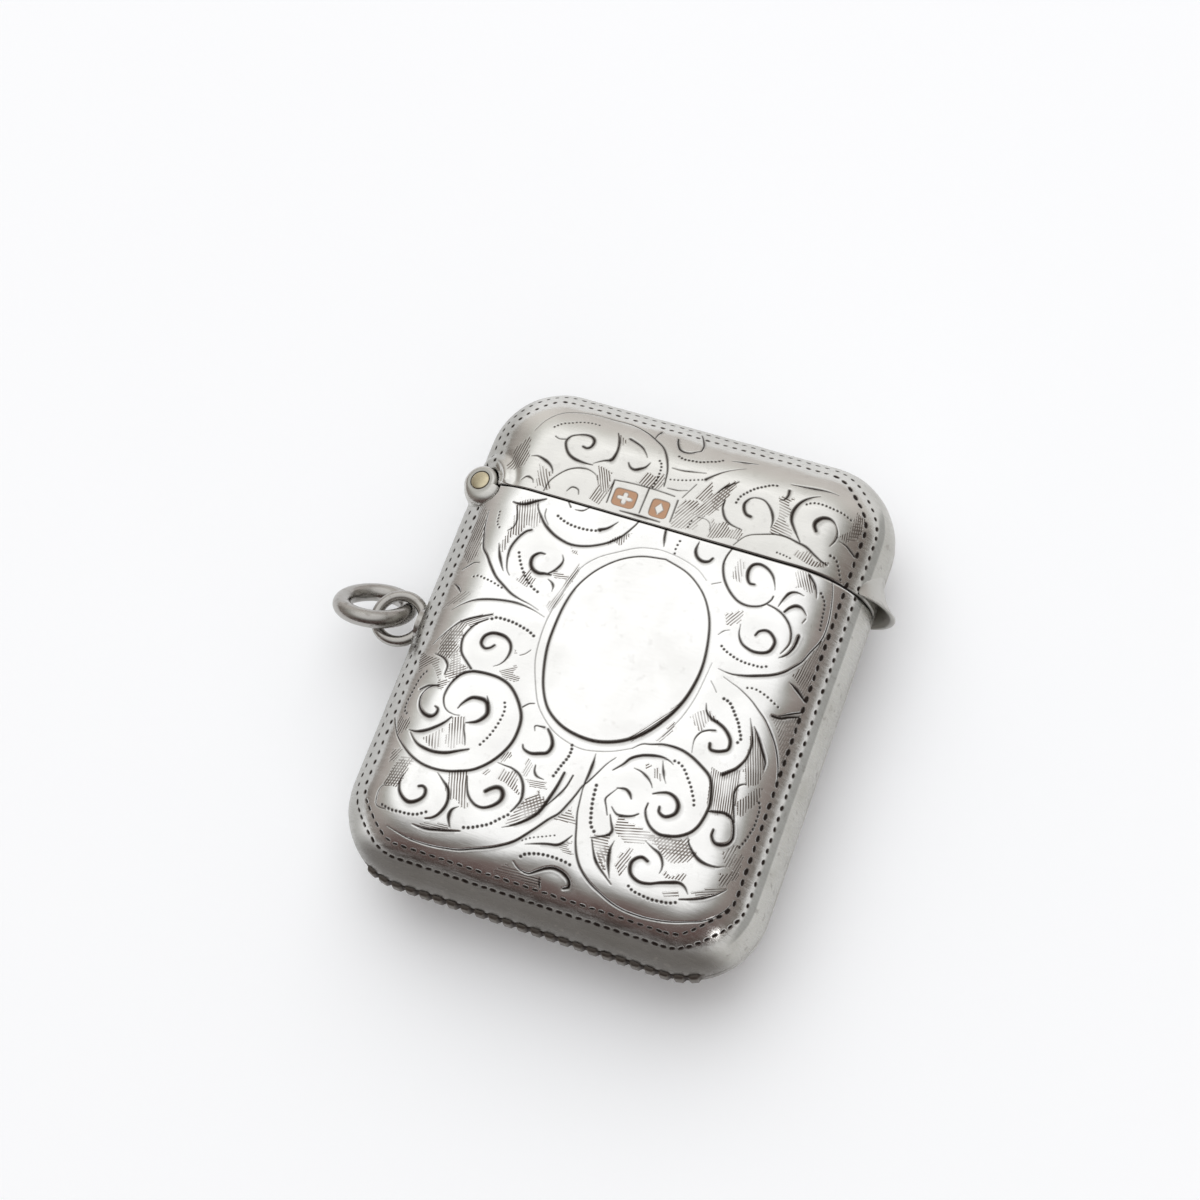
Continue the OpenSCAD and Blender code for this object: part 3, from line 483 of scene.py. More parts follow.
HATCHES = """
80 20 | -13.6,12 -12.6,12.2 -12.2,13.4 -12.8,14.6 -13.6,14;
-60 20 | -10.9,12.6 -10,12.2 -9.7,11.2 -10.6,11;
75 20 | -5.3,11.2 -5,12.8 -6,12.4 -6.2,11.2;
60 20 | 0.8,11.2 2.2,11.2 2.6,12.6 1.4,13.4 0.8,12.8;
70 20 | -3,13.7 -1.3,13.7 -1.5,14.8 -2.6,14.4;
75 20 | 10.6,11.2 12.2,11.2 12.9,11.3 12,11.7 10.8,12;
65 20 | 1.6,13.6 2.6,13.4 3,14.4 2.4,15;
3 20 | -1.9,-18.4 -0.4,-18.7 0.3,-18.7 0.4,-19.3 -2.6,-19.2;
-60 20 | 8.4,-2.6 9.2,-3 8.2,-4 7.4,-3.4;
60 20 | 7.2,5.4 8.1,5.8 8.3,4.9 7.5,4.4;
-65 20 | 6.6,9.9 7.3,9.6 7.2,8.3 6.6,8.2;
75 18 | -9.2,3.2 -8.4,2.6 -8,3.6 -8.6,4.1;
80 20 | -4.6,-11.5 -3.6,-11.9 -3.2,-12.9 -4,-12.8 -4.8,-12.6;
35 20 | -14.6,-4.6 -13.6,-4.6 -12.6,-5.2 -12.6,-6.2 -13.6,-5.4 -14.4,-6;
80 20 | -14.4,-10 -13.5,-9.8 -13.3,-10.6 -13.9,-11.2;
-70 20 | 13.6,-7.1 14.2,-7 14,-8.6 13.2,-9.2 12.8,-8.4;
80 20 | 12.9,-12.4 13.8,-11.8 14.1,-12.8 13.6,-13.2;
20 20 | 9.7,-16.7 10.8,-16.3 10.7,-16.8 9.9,-17;
70 20 | 5.9,-15 6.5,-14.4 6.5,-16 6.2,-16.6 5.8,-16;
75 20 | -12.6,-13.1 -11.9,-13.1 -12.2,-15 -13.4,-15.3 -13.2,-14.3;
60 20 | -13.8,-12.3 -13.1,-12.4 -13.2,-13.2 -13.6,-13.3;
-72 20 | -8.5,-13.2 -7.3,-12.9 -6.9,-14.2 -6.5,-15 -7.8,-14.9 -8.3,-14.2;
60 17 | -6.4,-12.5 -6,-12.6 -5.6,-11.9 -5.9,-11.7;
6 14 | -9.6,-17.6 -9,-17.2 -7.4,-17 -7.2,-17.25 -8,-17.5;
38 20 | -1,-13.2 -1.6,-12.6 -2.2,-13.2 -2.5,-14 -3,-15.2 -2.6,-15.3 -1.8,-14.6 -1.2,-13.9;
8 14 | -3,-11.8 -1.3,-11.6 -1.3,-12 -2.4,-12.25;
80 16 | -3.4,-10.5 -2.8,-10.4 -2.9,-11.5 -3.3,-11.6;
75 16 | -5.3,-10.4 -4.6,-10.3 -4.9,-10.9 -5.2,-11;
4 14 | 1.2,-15.7 1.9,-15.3 2.3,-16.1 1.6,-16.1;
4 20 | 0.1,-13.95 1.1,-12.9 1.6,-13.3 1.65,-13.9;
8 20 | 3.5,-14.5 4.5,-14.1 4.9,-14.6 4.9,-16.3 4.3,-15.9;
14 20 | 5,-12.4 7.6,-13 7.2,-13.6 6,-14 5.2,-13.4;
65 20 | 7.5,-13.1 8.8,-12.8 10,-12.6 10.8,-13.3 10.5,-14 9.6,-14.2 8.9,-13.9 8.2,-13.6;
78 18 | 14.1,-12.5 14.5,-12.2 14.8,-13.6 14.3,-13.9;
75 20 | 13.4,-13.9 14.2,-13.6 14.1,-14.9 13.6,-14.6;
70 20 | 9.5,-15.3 10.9,-15.1 10.7,-15.7 9.7,-15.6;
25 16 | 12,-16 13.8,-14.9 14,-15.1 12.9,-16;
70 19 | -12.9,-2.2 -11.9,-1.5 -11.9,-3 -11.6,-4.1 -13.1,-4.1 -13.4,-3;
35 15 | -12.2,-1.2 -10.4,-0.2 -10.1,-0.5 -11.5,-1.6;
35 18 | -11.7,-4 -10.9,-4.6 -10.6,-5 -11,-5.8 -11.9,-5.9 -11.9,-4.9;
30 16 | -12.2,-6.3 -11.5,-6.3 -11.5,-7 -11.9,-6.9;
-72 20 | -9.9,-9.1 -9.1,-9 -8.5,-10.5 -9,-11 -9.8,-10.8;
-72 22 | -11.6,-10.9 -10.4,-10.2 -10.2,-11.4 -11.2,-11.5;
30 14 | -7.7,-4.2 -6.9,-3.7 -6.6,-4.2 -6.2,-4.8 -7.1,-4.7;
20 16 | -7.6,-2.4 -7,-2.4 -7,-2.7 -7.5,-2.7;
-70 18 | 12.2,-3.2 13.2,-4.2 13.8,-5.3 13.6,-6.7 13.1,-6.8 12.5,-5.8 12.4,-4.5;
-78 16 | 10.2,-6.6 11,-6.9 12.2,-6.6 12.4,-8 12.6,-9.4 11.9,-9.5 11,-9.6 10.6,-8;
82 18 | 13.1,-1.5 14.2,-1.2 15.1,-0.8 15.1,-4.2 14.3,-3 13.4,-1.9;
60 18 | 5.4,-5.9 5.8,-6 6.3,-4.8 6.1,-4.4;
52 14 | 4,-6.1 5.1,-4.9 6,-3.2 5.9,-2.8 5,-4.3 3.7,-5.9;
-70 18 | 6.1,-8.3 6.4,-8.1 6.9,-8.8 6.5,-8.9;
45 18 | 5.3,-8.1 5.6,-7.7 5.9,-7.7 5.5,-8.2;
-72 19 | -11.4,9.1 -10.1,9.4 -9.9,8.6 -9.2,8.1 -10.2,7.4 -10.8,6.7 -11,5.5 -11.5,5.9 -11.2,7.5;
86 20 | -14.8,8 -14.1,8 -13.7,6.2 -13.3,4.6 -13.9,3.7 -14.6,4.2;
50 20 | -14.6,-0.4 -13.1,0.3 -12.6,1 -13.6,0.9;
10 16 | -6.9,4.7 -5.2,4.6 -5.4,4.2 -6.8,4.2;
75 14 | -6.3,1.8 -5.9,1.6 -5.6,2.2 -5,5 -5.3,5.2 -5.9,3;
75 15 | -6.2,6.9 -5.7,6.9 -5.6,6.3 -6,6.3;
-75 16 | -3.4,8.2 -2.1,9.6 -2.2,8.7 -2.9,8.2;
-60 18 | 11.2,10.2 12.2,10.1 12.8,9.3 12.3,8.9 11.6,9.1;
82 17 | 14.9,5.6 15.1,5 15.1,1.4 14.2,2 13.6,2.2 14,3.2;
-65 17 | -6.4,13.8 -5.3,13.6 -5.3,12.4 -5.6,12 -6.1,13;
-70 17 | -6,17.3 -5.1,16.9 -5.2,16.2 -5.7,16.6;
60 18 | 4.4,15.8 3.4,15.1 2.8,13.9 2.2,12.8 3,12.7 3.6,13.3 3.9,14.2;
75 18 | 3.8,12.3 4.8,12.2 5.9,12 5.8,11.2 3.9,11.1;
-10 20 | 8,15.4 9,15.5 9.1,14 9.6,13.2 9.9,12.8 8.4,12.9 8.3,14;
-80 17 | 14.1,16.5 14.8,16.4 14.8,14.6 14.2,14.2 13.4,13.9 14,14.8;
-75 18 | 12.5,11.8 13.2,11.9 13.3,11.4 12.9,11.3;
"""

CROSSED = """
8 22 | -12.6,-13.1 -11.9,-13.1 -12.2,-15 -13.4,-15.3 -13.2,-14.3;
120 24 | -1,-13.2 -1.6,-12.6 -2.2,-13.2 -2.4,-14 -1.8,-14.4 -1.2,-13.9;
-50 30 | 4.3,-15 4.9,-14.8 4.9,-16.3 4.3,-15.9;
10 24 | 7.5,-13.1 8.8,-12.8 10,-12.6 10.8,-13.3 10,-13.8 8.9,-13.7 8.2,-13.5;
12 26 | -12.7,-2.4 -11.9,-2 -11.9,-3 -11.7,-4 -12.9,-4;
110 24 | -11.7,-4 -10.9,-4.6 -10.6,-5 -11,-5.8 -11.7,-5.4;
30 30 | 14.1,-1.3 15.1,-0.9 15.1,-4 14.4,-2.9;
-20 28 | 4,15.4 3.4,15 2.8,13.9 3.6,13.4 3.9,14.2;
20 25 | 14.1,16.3 14.8,16.2 14.8,14.6 14.2,14.4;
"""

# Border rows: their distance down the rounded edge, and how much closer they run at the corners
ROWS, ROW_CORNER_CUT = (5.69, 4.49), 0.55


def drawn(text):
    """The numbers and the points of each stroke that is written in the text."""
    for stroke in text.split(";")[:-1]:
        numbers, words = stroke.split("|")
        points = [tuple(float(v) for v in word.split(",")) for word in words.split()]
        yield [float(v) for v in numbers.split()], points


def border_path(reach):
    """The drawing plane path of a border row, cut a little closer at the corners."""
    path = []
    for sx, sy, start in ((1, -1, -90), (1, 1, 0), (-1, 1, 90), (-1, -1, 180)):
        for k in range(25):
            a = math.radians(start + k * 3.75)
            r = reach - ROW_CORNER_CUT * math.sin(math.radians(k * 7.5)) ** 2
            path.append((sx * CORNER_X + r * math.cos(a), sy * CORNER_Y + r * math.sin(a)))
    return np.array(path + path[:1])


def border_mark(x, y, row):
    """Pitch, radius, stretch and darkness of a border mark: dashes on the base, rounder on the sides."""
    if y < -CORNER_Y - 1.5:
        return 0.76, 0.14, 0.13, 1.0
    if x > CORNER_X:
        return 0.88, 0.16 + 0.04 * row, 0.07 + 0.05 * row, 1.0
    if x < -CORNER_X:
        return 0.85, 0.165, 0.05, 1.0
    return 0.76, 0.14, 0.08, 0.95


def punch_border(canvas):
    """Two rows of punched marks, a little uneven in size, place and turn."""
    ahead = 0.05
    for row, reach in enumerate(ROWS):
        path = border_path(reach)
        along = lengths_along(path)
        s, count = 0.0, 0
        while s < along[-1] - 0.4:
            x, y = (np.interp(s, along, path[:, k]) for k in (0, 1))
            next_x, next_y = (np.interp(s + ahead, along, path[:, k]) for k in (0, 1))
            tx, ty = (next_x - x) / ahead, (next_y - y) / ahead
            uneven = math.sin(count * 5.1 + row * 2) * 0.5 + math.sin(count * 2.3) * 0.5
            pitch, radius, stretch, dark = border_mark(x, y, row)
            radius *= 1 + 0.15 * uneven
            for k in (-1, 0, 1):
                canvas.dig(x + tx * stretch * k + 0.03 * uneven * k * ty,
                           y + ty * stretch * k - 0.03 * uneven * k * tx,
                           radius * (1 - 0.15 * abs(k)), PUNCH_DEPTH, dark, True)
            s += pitch * (1 + 0.07 * uneven)
            count += 1


def engrave(canvas):
    """Everything that is cut and punched into the front."""
    for text, dark in [(group, 1.0) for group in CUTS.values()] + [(OVAL_RIM, 0.8)]:
        for widths, points in drawn(text):
            canvas.cut([w / 100 for w in widths], points, dark)
    canvas.swell()
    for (pitch, radius), points in drawn(DOTS):
        canvas.dots(pitch / 100, radius / 100, points)
    for text, layer in ((HATCHES, "lines"), (CROSSED, "cross")):
        for (angle, pitch), points in drawn(text):
            canvas.hatch(angle, pitch / 100, points, layer)
    punch_border(canvas)
    canvas.stamp(-3.62, 12.05, 0.98, 0.78, four_petals)
    canvas.stamp(-0.72, 12.0, 0.76, 0.78, lozenge)


def hand_raised(p, q):
    """The slight unevenness of sheet that was raised and engraved by hand."""
    wave = (np.sin(p * 0.83 + 1.1 * np.sin(q * 0.47 + 0.6)) * np.sin(q * 0.71 + 0.9 * np.sin(p * 0.39))
            + 0.6 * np.sin(p * 1.57 - q * 1.23 + 0.8) * np.sin(q * 1.31 + p * 0.37 + 2.0))
    return 0.011 * (1.6 + wave)


# Meshes

def lattice(rows, cols, closed=False):
    """Quads of a rows by cols lattice of points; closed joins the last column to the first."""
    index = np.arange(rows * cols).reshape(rows, cols)
    nxt = np.roll(index, -1, 1) if closed else index[:, 1:]
    cur = index if closed else index[:, :-1]
    return np.stack([cur[:-1], nxt[:-1], nxt[1:], cur[1:]], -1).reshape(-1, 4)


def mesh_piece(name, points, faces, attributes=None):
    """A smooth mesh object from arrays of points in millimetres and quads."""
    mesh = bpy.data.meshes.new(name)
    mesh.vertices.add(len(points))
    mesh.vertices.foreach_set("co", np.asarray(points * MM, np.float32).ravel())
    mesh.loops.add(faces.size)
    mesh.loops.foreach_set("vertex_index", faces.astype(np.int32).ravel())
    mesh.polygons.add(len(faces))
    mesh.polygons.foreach_set("loop_start", np.arange(0, faces.size, faces.shape[1], dtype=np.int32))
    mesh.polygons.foreach_set("use_smooth", np.ones(len(faces), bool))
    for key, values in (attributes or {}).items():
        mesh.attributes.new(key, "FLOAT", "POINT").data.foreach_set("value", np.asarray(values, np.float32))
    mesh.update()
    mesh.validate()
    piece = bpy.data.objects.new(name, mesh)
    bpy.context.scene.collection.objects.link(piece)
    return piece


# Front shells

def grid_lines(low, high, dense_low, dense_high, fine=FINE):
    """Grid lines from low to high, fine between the dense limits."""
    def run(a, b, step):
        n = max(1, int(round((b - a) / step)))
        return np.linspace(a, b, n, endpoint=False)
    parts = []
    if low < dense_low:
        parts.append(run(low, dense_low, COARSE))
    parts.append(run(max(low, dense_low), min(high, dense_high), fine))
    if high > dense_high:
        parts.append(run(dense_high, high, COARSE))
    return np.concatenate(parts + [[high]])


def from_hinge(pts):
    """Places measured from the hinge axis and the middle of the case's thickness."""
    return pts[..., 0] - HINGE_X, pts[..., 1] - HINGE_Y, pts[..., 2] - EDGE_R


def body_cut(pts):
    """Where the body's sheet leaves room for the hinge."""
    x, y, z = from_hinge(pts)
    swing = (x ** 2 + y ** 2 < RELIEF_R ** 2) | ((x < 0) & (y > -RELIEF_H))
    knuckle, bearer = np.hypot(x, y), np.hypot(x - BEARER_IN, y + BEARER_DROP)
    seat = (knuckle < KNUCKLE_R - SHEET_UNDER) | (bearer < BEARER_R - SHEET_UNDER)
    return np.where(z < KNUCKLE_START + 0.15, swing, seat)


def lid_cut(pts):
    """Where the lid's sheet leaves room for the body's knuckles."""
    x, y, z = from_hinge(pts)
    swing = (x ** 2 + y ** 2 < RELIEF_R ** 2) | ((x < 0) & (y < RELIEF_H))
    close = (x ** 2 + y ** 2 < (KNUCKLE_R + SHEET_OFF) ** 2) | ((x < -0.45) & (y < RELIEF_H))
    return np.where(z < KNUCKLE_START, swing, close)


def lid_collar(pts):
    """How far the lid's sheet swells out round the front knuckle."""
    x, y, _ = from_hinge(pts)
    reach, angle = np.hypot(x, y), np.degrees(np.arctan2(y, x))
    swelling = 0.25 * np.exp(-((reach - 2.2) / 0.4) ** 2) - 0.08 * np.exp(-((reach - 3.0) / 0.35) ** 2)
    fade = np.clip((angle + 4) / 12, 0, 1) * np.clip((120 - angle) / 25, 0, 1)
    return swelling * fade


def any_corner(mask):
    """For each cell of a grid, whether the mask holds at one of its corners."""
    return mask[:-1, :-1] | mask[1:, :-1] | mask[:-1, 1:] | mask[1:, 1:]


def sheet_faces(p, q, cut, inside_too=False):
    """Quads of a grid of the drawing plane, without what lies past the edge or in the hinge."""
    pp, qq = np.meshgrid(p, q)
    reach = np.hypot(pp - np.clip(pp, -CORNER_X, CORNER_X), qq - np.clip(qq, -CORNER_Y, CORNER_Y))
    keep = any_corner(reach < QUARTER - 1e-6)
    keep &= ~cut(wrap(*np.meshgrid((p[:-1] + p[1:]) / 2, (q[:-1] + q[1:]) / 2)))
    if inside_too:
        keep &= ~any_corner(cut(wrap(pp, qq)) | cut(wrap(pp, qq, WALL)))
    return lattice(len(q), len(p))[keep.ravel()]


def boundary(quads):
    """The directed edges that only one face uses."""
    edges = np.concatenate([quads[:, [k, (k + 1) % 4]] for k in range(4)])
    low, high = edges.min(1), edges.max(1)
    key = low.astype(np.int64) * (edges.max() + 1) + high
    _, first, count = np.unique(key, return_index=True, return_counts=True)
    return edges[first[count == 1]]


def rolled_edge_and_seam_shade(canvas, pp, qq, edge):
    """The sheet's worn edge at the seam, turned in more toward the opening side, with painted shade along the
    seam.
    """
    wide = 0.04 + 0.17 * np.clip((pp + 2) / 16, 0, 1)
    roll = np.clip(1 - np.abs(qq - edge) / wide, 0, 1) ** 2
    # Darken the rolled edge: painted shade along the seam
    canvas.layers["groove"] = np.maximum(canvas.layers["groove"], np.clip(roll * 1.5 - 0.15, 0, 0.85))
    return 0.12 * roll


def knuckle_end(x):
    """Height of the front end of the hinge, x measured from its axis."""
    return KNUCKLE_END + KNUCKLE_SLOPE * x


def collar_wall():
    """Points and quads of the lid's rounded wall round the front knuckle, standing on the sheet."""
    half, middle = (COLLAR_OUTER - COLLAR_INNER) / 2, (COLLAR_OUTER + COLLAR_INNER) / 2
    crown = [(half * math.sin(t), half * math.cos(t) - half) for t in np.radians(np.linspace(-90, 90, 17))]
    section = [(-half, None), *crown, (half, None)]
    angles = np.radians(np.linspace(COLLAR_FROM, COLLAR_TO, 60))
    rows = []
    for angle in np.concatenate([angles[:1], angles, angles[-1:]]):
        past = (math.degrees(angle) - COLLAR_DROPS) / (COLLAR_TO - COLLAR_DROPS)
        drop = np.clip(past, 0, 1) ** 2 * COLLAR_DROP
        rows.append([])
        for out, level in section:
            x, y = (middle + out) * math.cos(angle), (middle + out) * math.sin(angle)
            over = min(x + HINGE_X + CORNER_X, 0)
            top = EDGE_R + math.sqrt(EDGE_R ** 2 - over ** 2) - COLLAR_SET_IN
            if level is not None:
                top = max(knuckle_end(x) - COLLAR_BELOW + level - drop, top)
            rows[-1].append((x + HINGE_X, y + HINGE_Y, top))
    rows = np.array(rows)
    for end in (0, -1):
        rows[end, :, :2] = rows[end, :, :2].mean(0)
        rows[end, :, 2] = np.minimum(rows[end, :, 2], rows[end, :, 2].min())
    return rows.reshape(-1, 3), lattice(*rows.shape[:2])


def front_shell(name, q_low, q_high, cut, edge, collar=None):
    """An engraved front half: dense outside, plain inside, and the sheet's edge between them."""
    p_high = CORNER_X + QUARTER
    p = grid_lines(-p_high, p_high, -FINE_P, FINE_P)
    q = grid_lines(q_low, q_high, -FINE_Q, FINE_Q)
    canvas = Canvas(p, q)
    engrave(canvas)
    pp, qq = np.meshgrid(p, q)
    bare = wrap(pp, qq)
    inward = canvas.depth + hand_raised(pp, qq) + rolled_edge_and_seam_shade(canvas, pp, qq, edge)
    if collar:
        inward -= collar(bare)
    outer = wrap(pp, qq, inward).reshape(-1, 3)
    quads = sheet_faces(p, q, cut)

    at_hinge = np.hypot(*from_hinge(bare)[:2]) < NEAR_HINGE
    under = wrap(pp, qq, np.where(at_hinge, WALL_AT_HINGE, WALL)).reshape(-1, 3)
    rim = boundary(quads)
    n, m = len(outer), len(rim)
    k = n + np.arange(m)
    rim_quads = np.stack([k, k + 2 * m, k + 3 * m, k + m], -1)

    ip = grid_lines(-p_high, p_high, -p_high, p_high, COARSE)
    iq = grid_lines(q_low, q_high, q_low, q_high, COARSE)
    inner = wrap(*np.meshgrid(ip, iq), WALL).reshape(-1, 3)
    inner_quads = sheet_faces(ip, iq, cut, True)[:, ::-1] + n + 4 * m

    points = np.concatenate([outer, outer[rim.T.ravel()], under[rim.T.ravel()], inner])
    faces = np.concatenate([quads, rim_quads, inner_quads])
    if collar:
        wall, wall_quads = collar_wall()
        faces = np.concatenate([faces, wall_quads + len(points)])
        points = np.concatenate([points, wall])

    layers = {key: np.zeros(len(points)) for key in canvas.layers}
    for key, values in canvas.layers.items():
        layers[key][:n] = values.reshape(-1)
    # The sheet's edge faces at the seam are darkened: painted shade in the gap between lid and body
    at_seam = np.abs(qq.reshape(-1)[rim.T.ravel()] - edge) < 0.02
    layers["groove"][n:n + 4 * m] = 0.95 * np.tile(at_seam, 2)
    used = np.unique(faces)
    remap = np.full(len(points), -1)
    remap[used] = np.arange(len(used))
    return mesh_piece(name, points[used], remap[faces], {key: values[used] for key, values in layers.items()})


# Smaller pieces

def ring():
    """The chain ring of round wire, a little uneven from wear."""
    steps, sides = 193, 48
    a = np.linspace(0, 2 * np.pi, steps)
    b = np.linspace(0, 2 * np.pi, sides, endpoint=False)
    aa, bb = np.meshgrid(a, b, indexing="ij")
    thick = RING_WIRE * (1 - 0.03 * (1 + np.sin(3 * aa + 0.7) * np.cos(bb)))
    reach = RING_R + thick * np.cos(bb)
    pts = np.stack([reach * np.cos(aa), reach * np.sin(aa), thick * np.sin(bb)], -1).reshape(-1, 3)
    pts = pts @ np.array(RING_TURN).T + np.array(RING_AT)
    return mesh_piece("ring", pts, lattice(steps, sides, True))


def knuckle_cap():
    """The front knuckle of the body: a rounded bulb with the pin's end in it, its bearer below, painted shade
    round the pin.
    """
    low = np.array(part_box("body_knuckle_front")[0]) / MM
    count = 120
    a = np.linspace(0, 2 * np.pi, count, endpoint=False)
    away = np.stack([np.cos(a), np.sin(a)], -1)
    centre = np.array([BEARER_IN, -BEARER_DROP])
    along = away @ centre
    outline = np.maximum(KNUCKLE_R, along + np.sqrt(along ** 2 + BEARER_R ** 2 - centre @ centre))
    outline = np.where(away[:, 1] > -0.1, KNUCKLE_R, outline)
    hole = PIN_R + 0.04
    soft = outline - 1.02
    rows, dark = [], []
    for s in np.linspace(0, 1, 44) ** 0.8:
        r = hole + (outline - hole) * s
        edge = np.minimum(outline - r, soft) / soft
        round_off = (0.5 + 0.8 * (soft - 0.4)) * (1 - np.sqrt(np.maximum(1 - (1 - edge) ** 2, 0)))
        flat = away * r[:, None]
        rows.append(np.column_stack([flat, knuckle_end(flat[:, 0]) - round_off]))
        # A dark ring round the pin's hole: painted shade in the gap round the pin
        dark.append(0.9 * np.exp(-((r - hole) / 0.05) ** 2))
    foot, bore = rows[-1].copy(), rows[0].copy()
    foot[:, 2] = low[2]
    bore[:, 2] -= 0.5
    rows = [bore] + rows + [foot]
    # The bore is dark all round: painted shade inside the hole
    dark = [np.ones(count)] + dark + [np.zeros(count)]
    pts = np.concatenate(rows) + np.array([HINGE_X, HINGE_Y, 0])
    faces = lattice(len(rows), count, True)[:, ::-1]
    return mesh_piece("knuckle_front", pts, faces, {"groove": np.concatenate(dark)})


def pin():
    """The hinge pin, its front end riveted to a low dome."""
    count = 72
    a = np.linspace(0, 2 * np.pi, count, endpoint=False)
    back_rings = (0.001, 0.4, 0.7, PIN_R)
    front_rings = (PIN_R, 0.748, 0.73, 0.7, 0.6, 0.45, 0.25, 0.001)
    rows = []
    for k, r in enumerate(back_rings + front_rings):
        x, y = r * np.cos(a), r * np.sin(a)
        if k < len(back_rings):
            z = EDGE_R - np.sqrt((EDGE_R + KNUCKLE_PROUD) ** 2 - (x + HINGE_X + CORNER_X) ** 2)
        else:
            z = knuckle_end(x) + 0.15 * np.sqrt(max(1 - (r / PIN_R) ** 2, 0)) - 0.03
        rows.append(np.column_stack([x, y, z]))
    pts = np.concatenate(rows) + np.array([HINGE_X, HINGE_Y, 0])
    return mesh_piece("pin", pts, lattice(len(rows), count, True))


def tab():
    """The thumb piece: the lid's side flared out to a lip with a rounded rim, hollow below."""
    dz = np.linspace(-3.66, 3.66, 97)
    side = CORNER_X + np.sqrt(EDGE_R ** 2 - dz ** 2)
    lip = TAB_MID_X + np.sqrt(TAB_R ** 2 - dz ** 2) - side
    high = TAB_HIGH * np.sqrt(1 - (dz / TAB_HALF) ** 2)
    rim = np.minimum(TAB_RIM, lip + 0.2)
    rows = []
    for u in np.linspace(1, 0.045, 20):
        rows.append((lip * (1 - u) ** TAB_FLARE - 0.03, high * u))
    for back, up in ((0.02, 0.06), (0.06, 0.02), (0.12, 0.0), (0.75, 0.0), (0.9, 0.03), (1.0, 0.1)):
        rows.append((lip - rim * back, up + 0 * dz))
    for u in np.linspace(0.08, 0.75, 10):
        rows.append((np.maximum(lip * (1 - u) ** TAB_FLARE - rim, -0.35), np.maximum(high * u, 0.12)))
    pts = np.stack([np.stack([side + out, LID_Y + up, EDGE_R + dz], -1) for out, up in rows]).reshape(-1, 3)
    return mesh_piece("tab", pts, lattice(len(rows), len(dz)))


def striker():
    """The serrated strip along the base, its ends worn down into the corners, with painted shade in its
    notches.
    """
    arc = EDGE_R * math.radians(STRIP_TURN)
    total = 2 * CORNER_X + 2 * arc
    s = np.linspace(-total / 2, total / 2, 620)
    over = np.clip(np.abs(s) - CORNER_X, 0, arc) / EDGE_R * np.sign(s)
    v = np.linspace(-1, 1, 15)
    hill = np.sqrt(np.clip(1 - np.abs(v) ** 5, 0, 1))
    sag = (STRIP_HALF * v) ** 2 / (2 * EDGE_R)
    phase = np.abs(s / NOTCH_PITCH - np.round(s / NOTCH_PITCH)) * NOTCH_PITCH
    ends = np.clip((total / 2 - np.abs(s)) / STRIP_TAPER, 0, 1)
    ends = ends * ends * (3 - 2 * ends)
    notch = np.clip(1.4 - phase / NOTCH_HALF, 0, 1) * ends
    height = (STRIP_PROUD * ends[:, None] * (0.25 + 0.75 * hill)
              - NOTCH_DEPTH * notch[:, None] * (0.5 + 0.5 * hill) - sag)
    reach = EDGE_R + np.maximum(height, -0.12)
    reach[:, (0, -1)] = EDGE_R - 0.15
    pts = np.stack([np.clip(s, -CORNER_X, CORNER_X)[:, None] + np.sin(over)[:, None] * reach,
                    -CORNER_Y - np.cos(over)[:, None] * reach,
                    np.broadcast_to(EDGE_R + STRIP_HALF * v, reach.shape)], -1).reshape(-1, 3)
    # The notches are darkened through the cut layer: painted shade in them
    return mesh_piece("striker", pts, lattice(len(s), len(v)), {"groove": np.repeat(notch, len(v))})


# Materials

# The two base colours are tarnish and painted shade together; the pits are tarnish
BASE_TARNISH_AND_SHADE, LOW_BASE_TARNISH_AND_SHADE, PIT_TARNISH = (0.13, 0.113, 0.097), (0.055, 0.048, 0.042), (0.2, 0.18, 0.16)
HINGE_SIDE_GREY, RIGHT_BAND_PAINTED_REFLECTION = (0.28, 0.275, 0.25), (0.17, 0.17, 0.155)
# The cut colour is tarnish in the cuts and painted shade at facets, seam, pin and notches
CUT_TARNISH_AND_SHADE, HATCH_TARNISH, COPPER = (0.04, 0.031, 0.027), (0.13, 0.102, 0.084), (0.44, 0.265, 0.17)


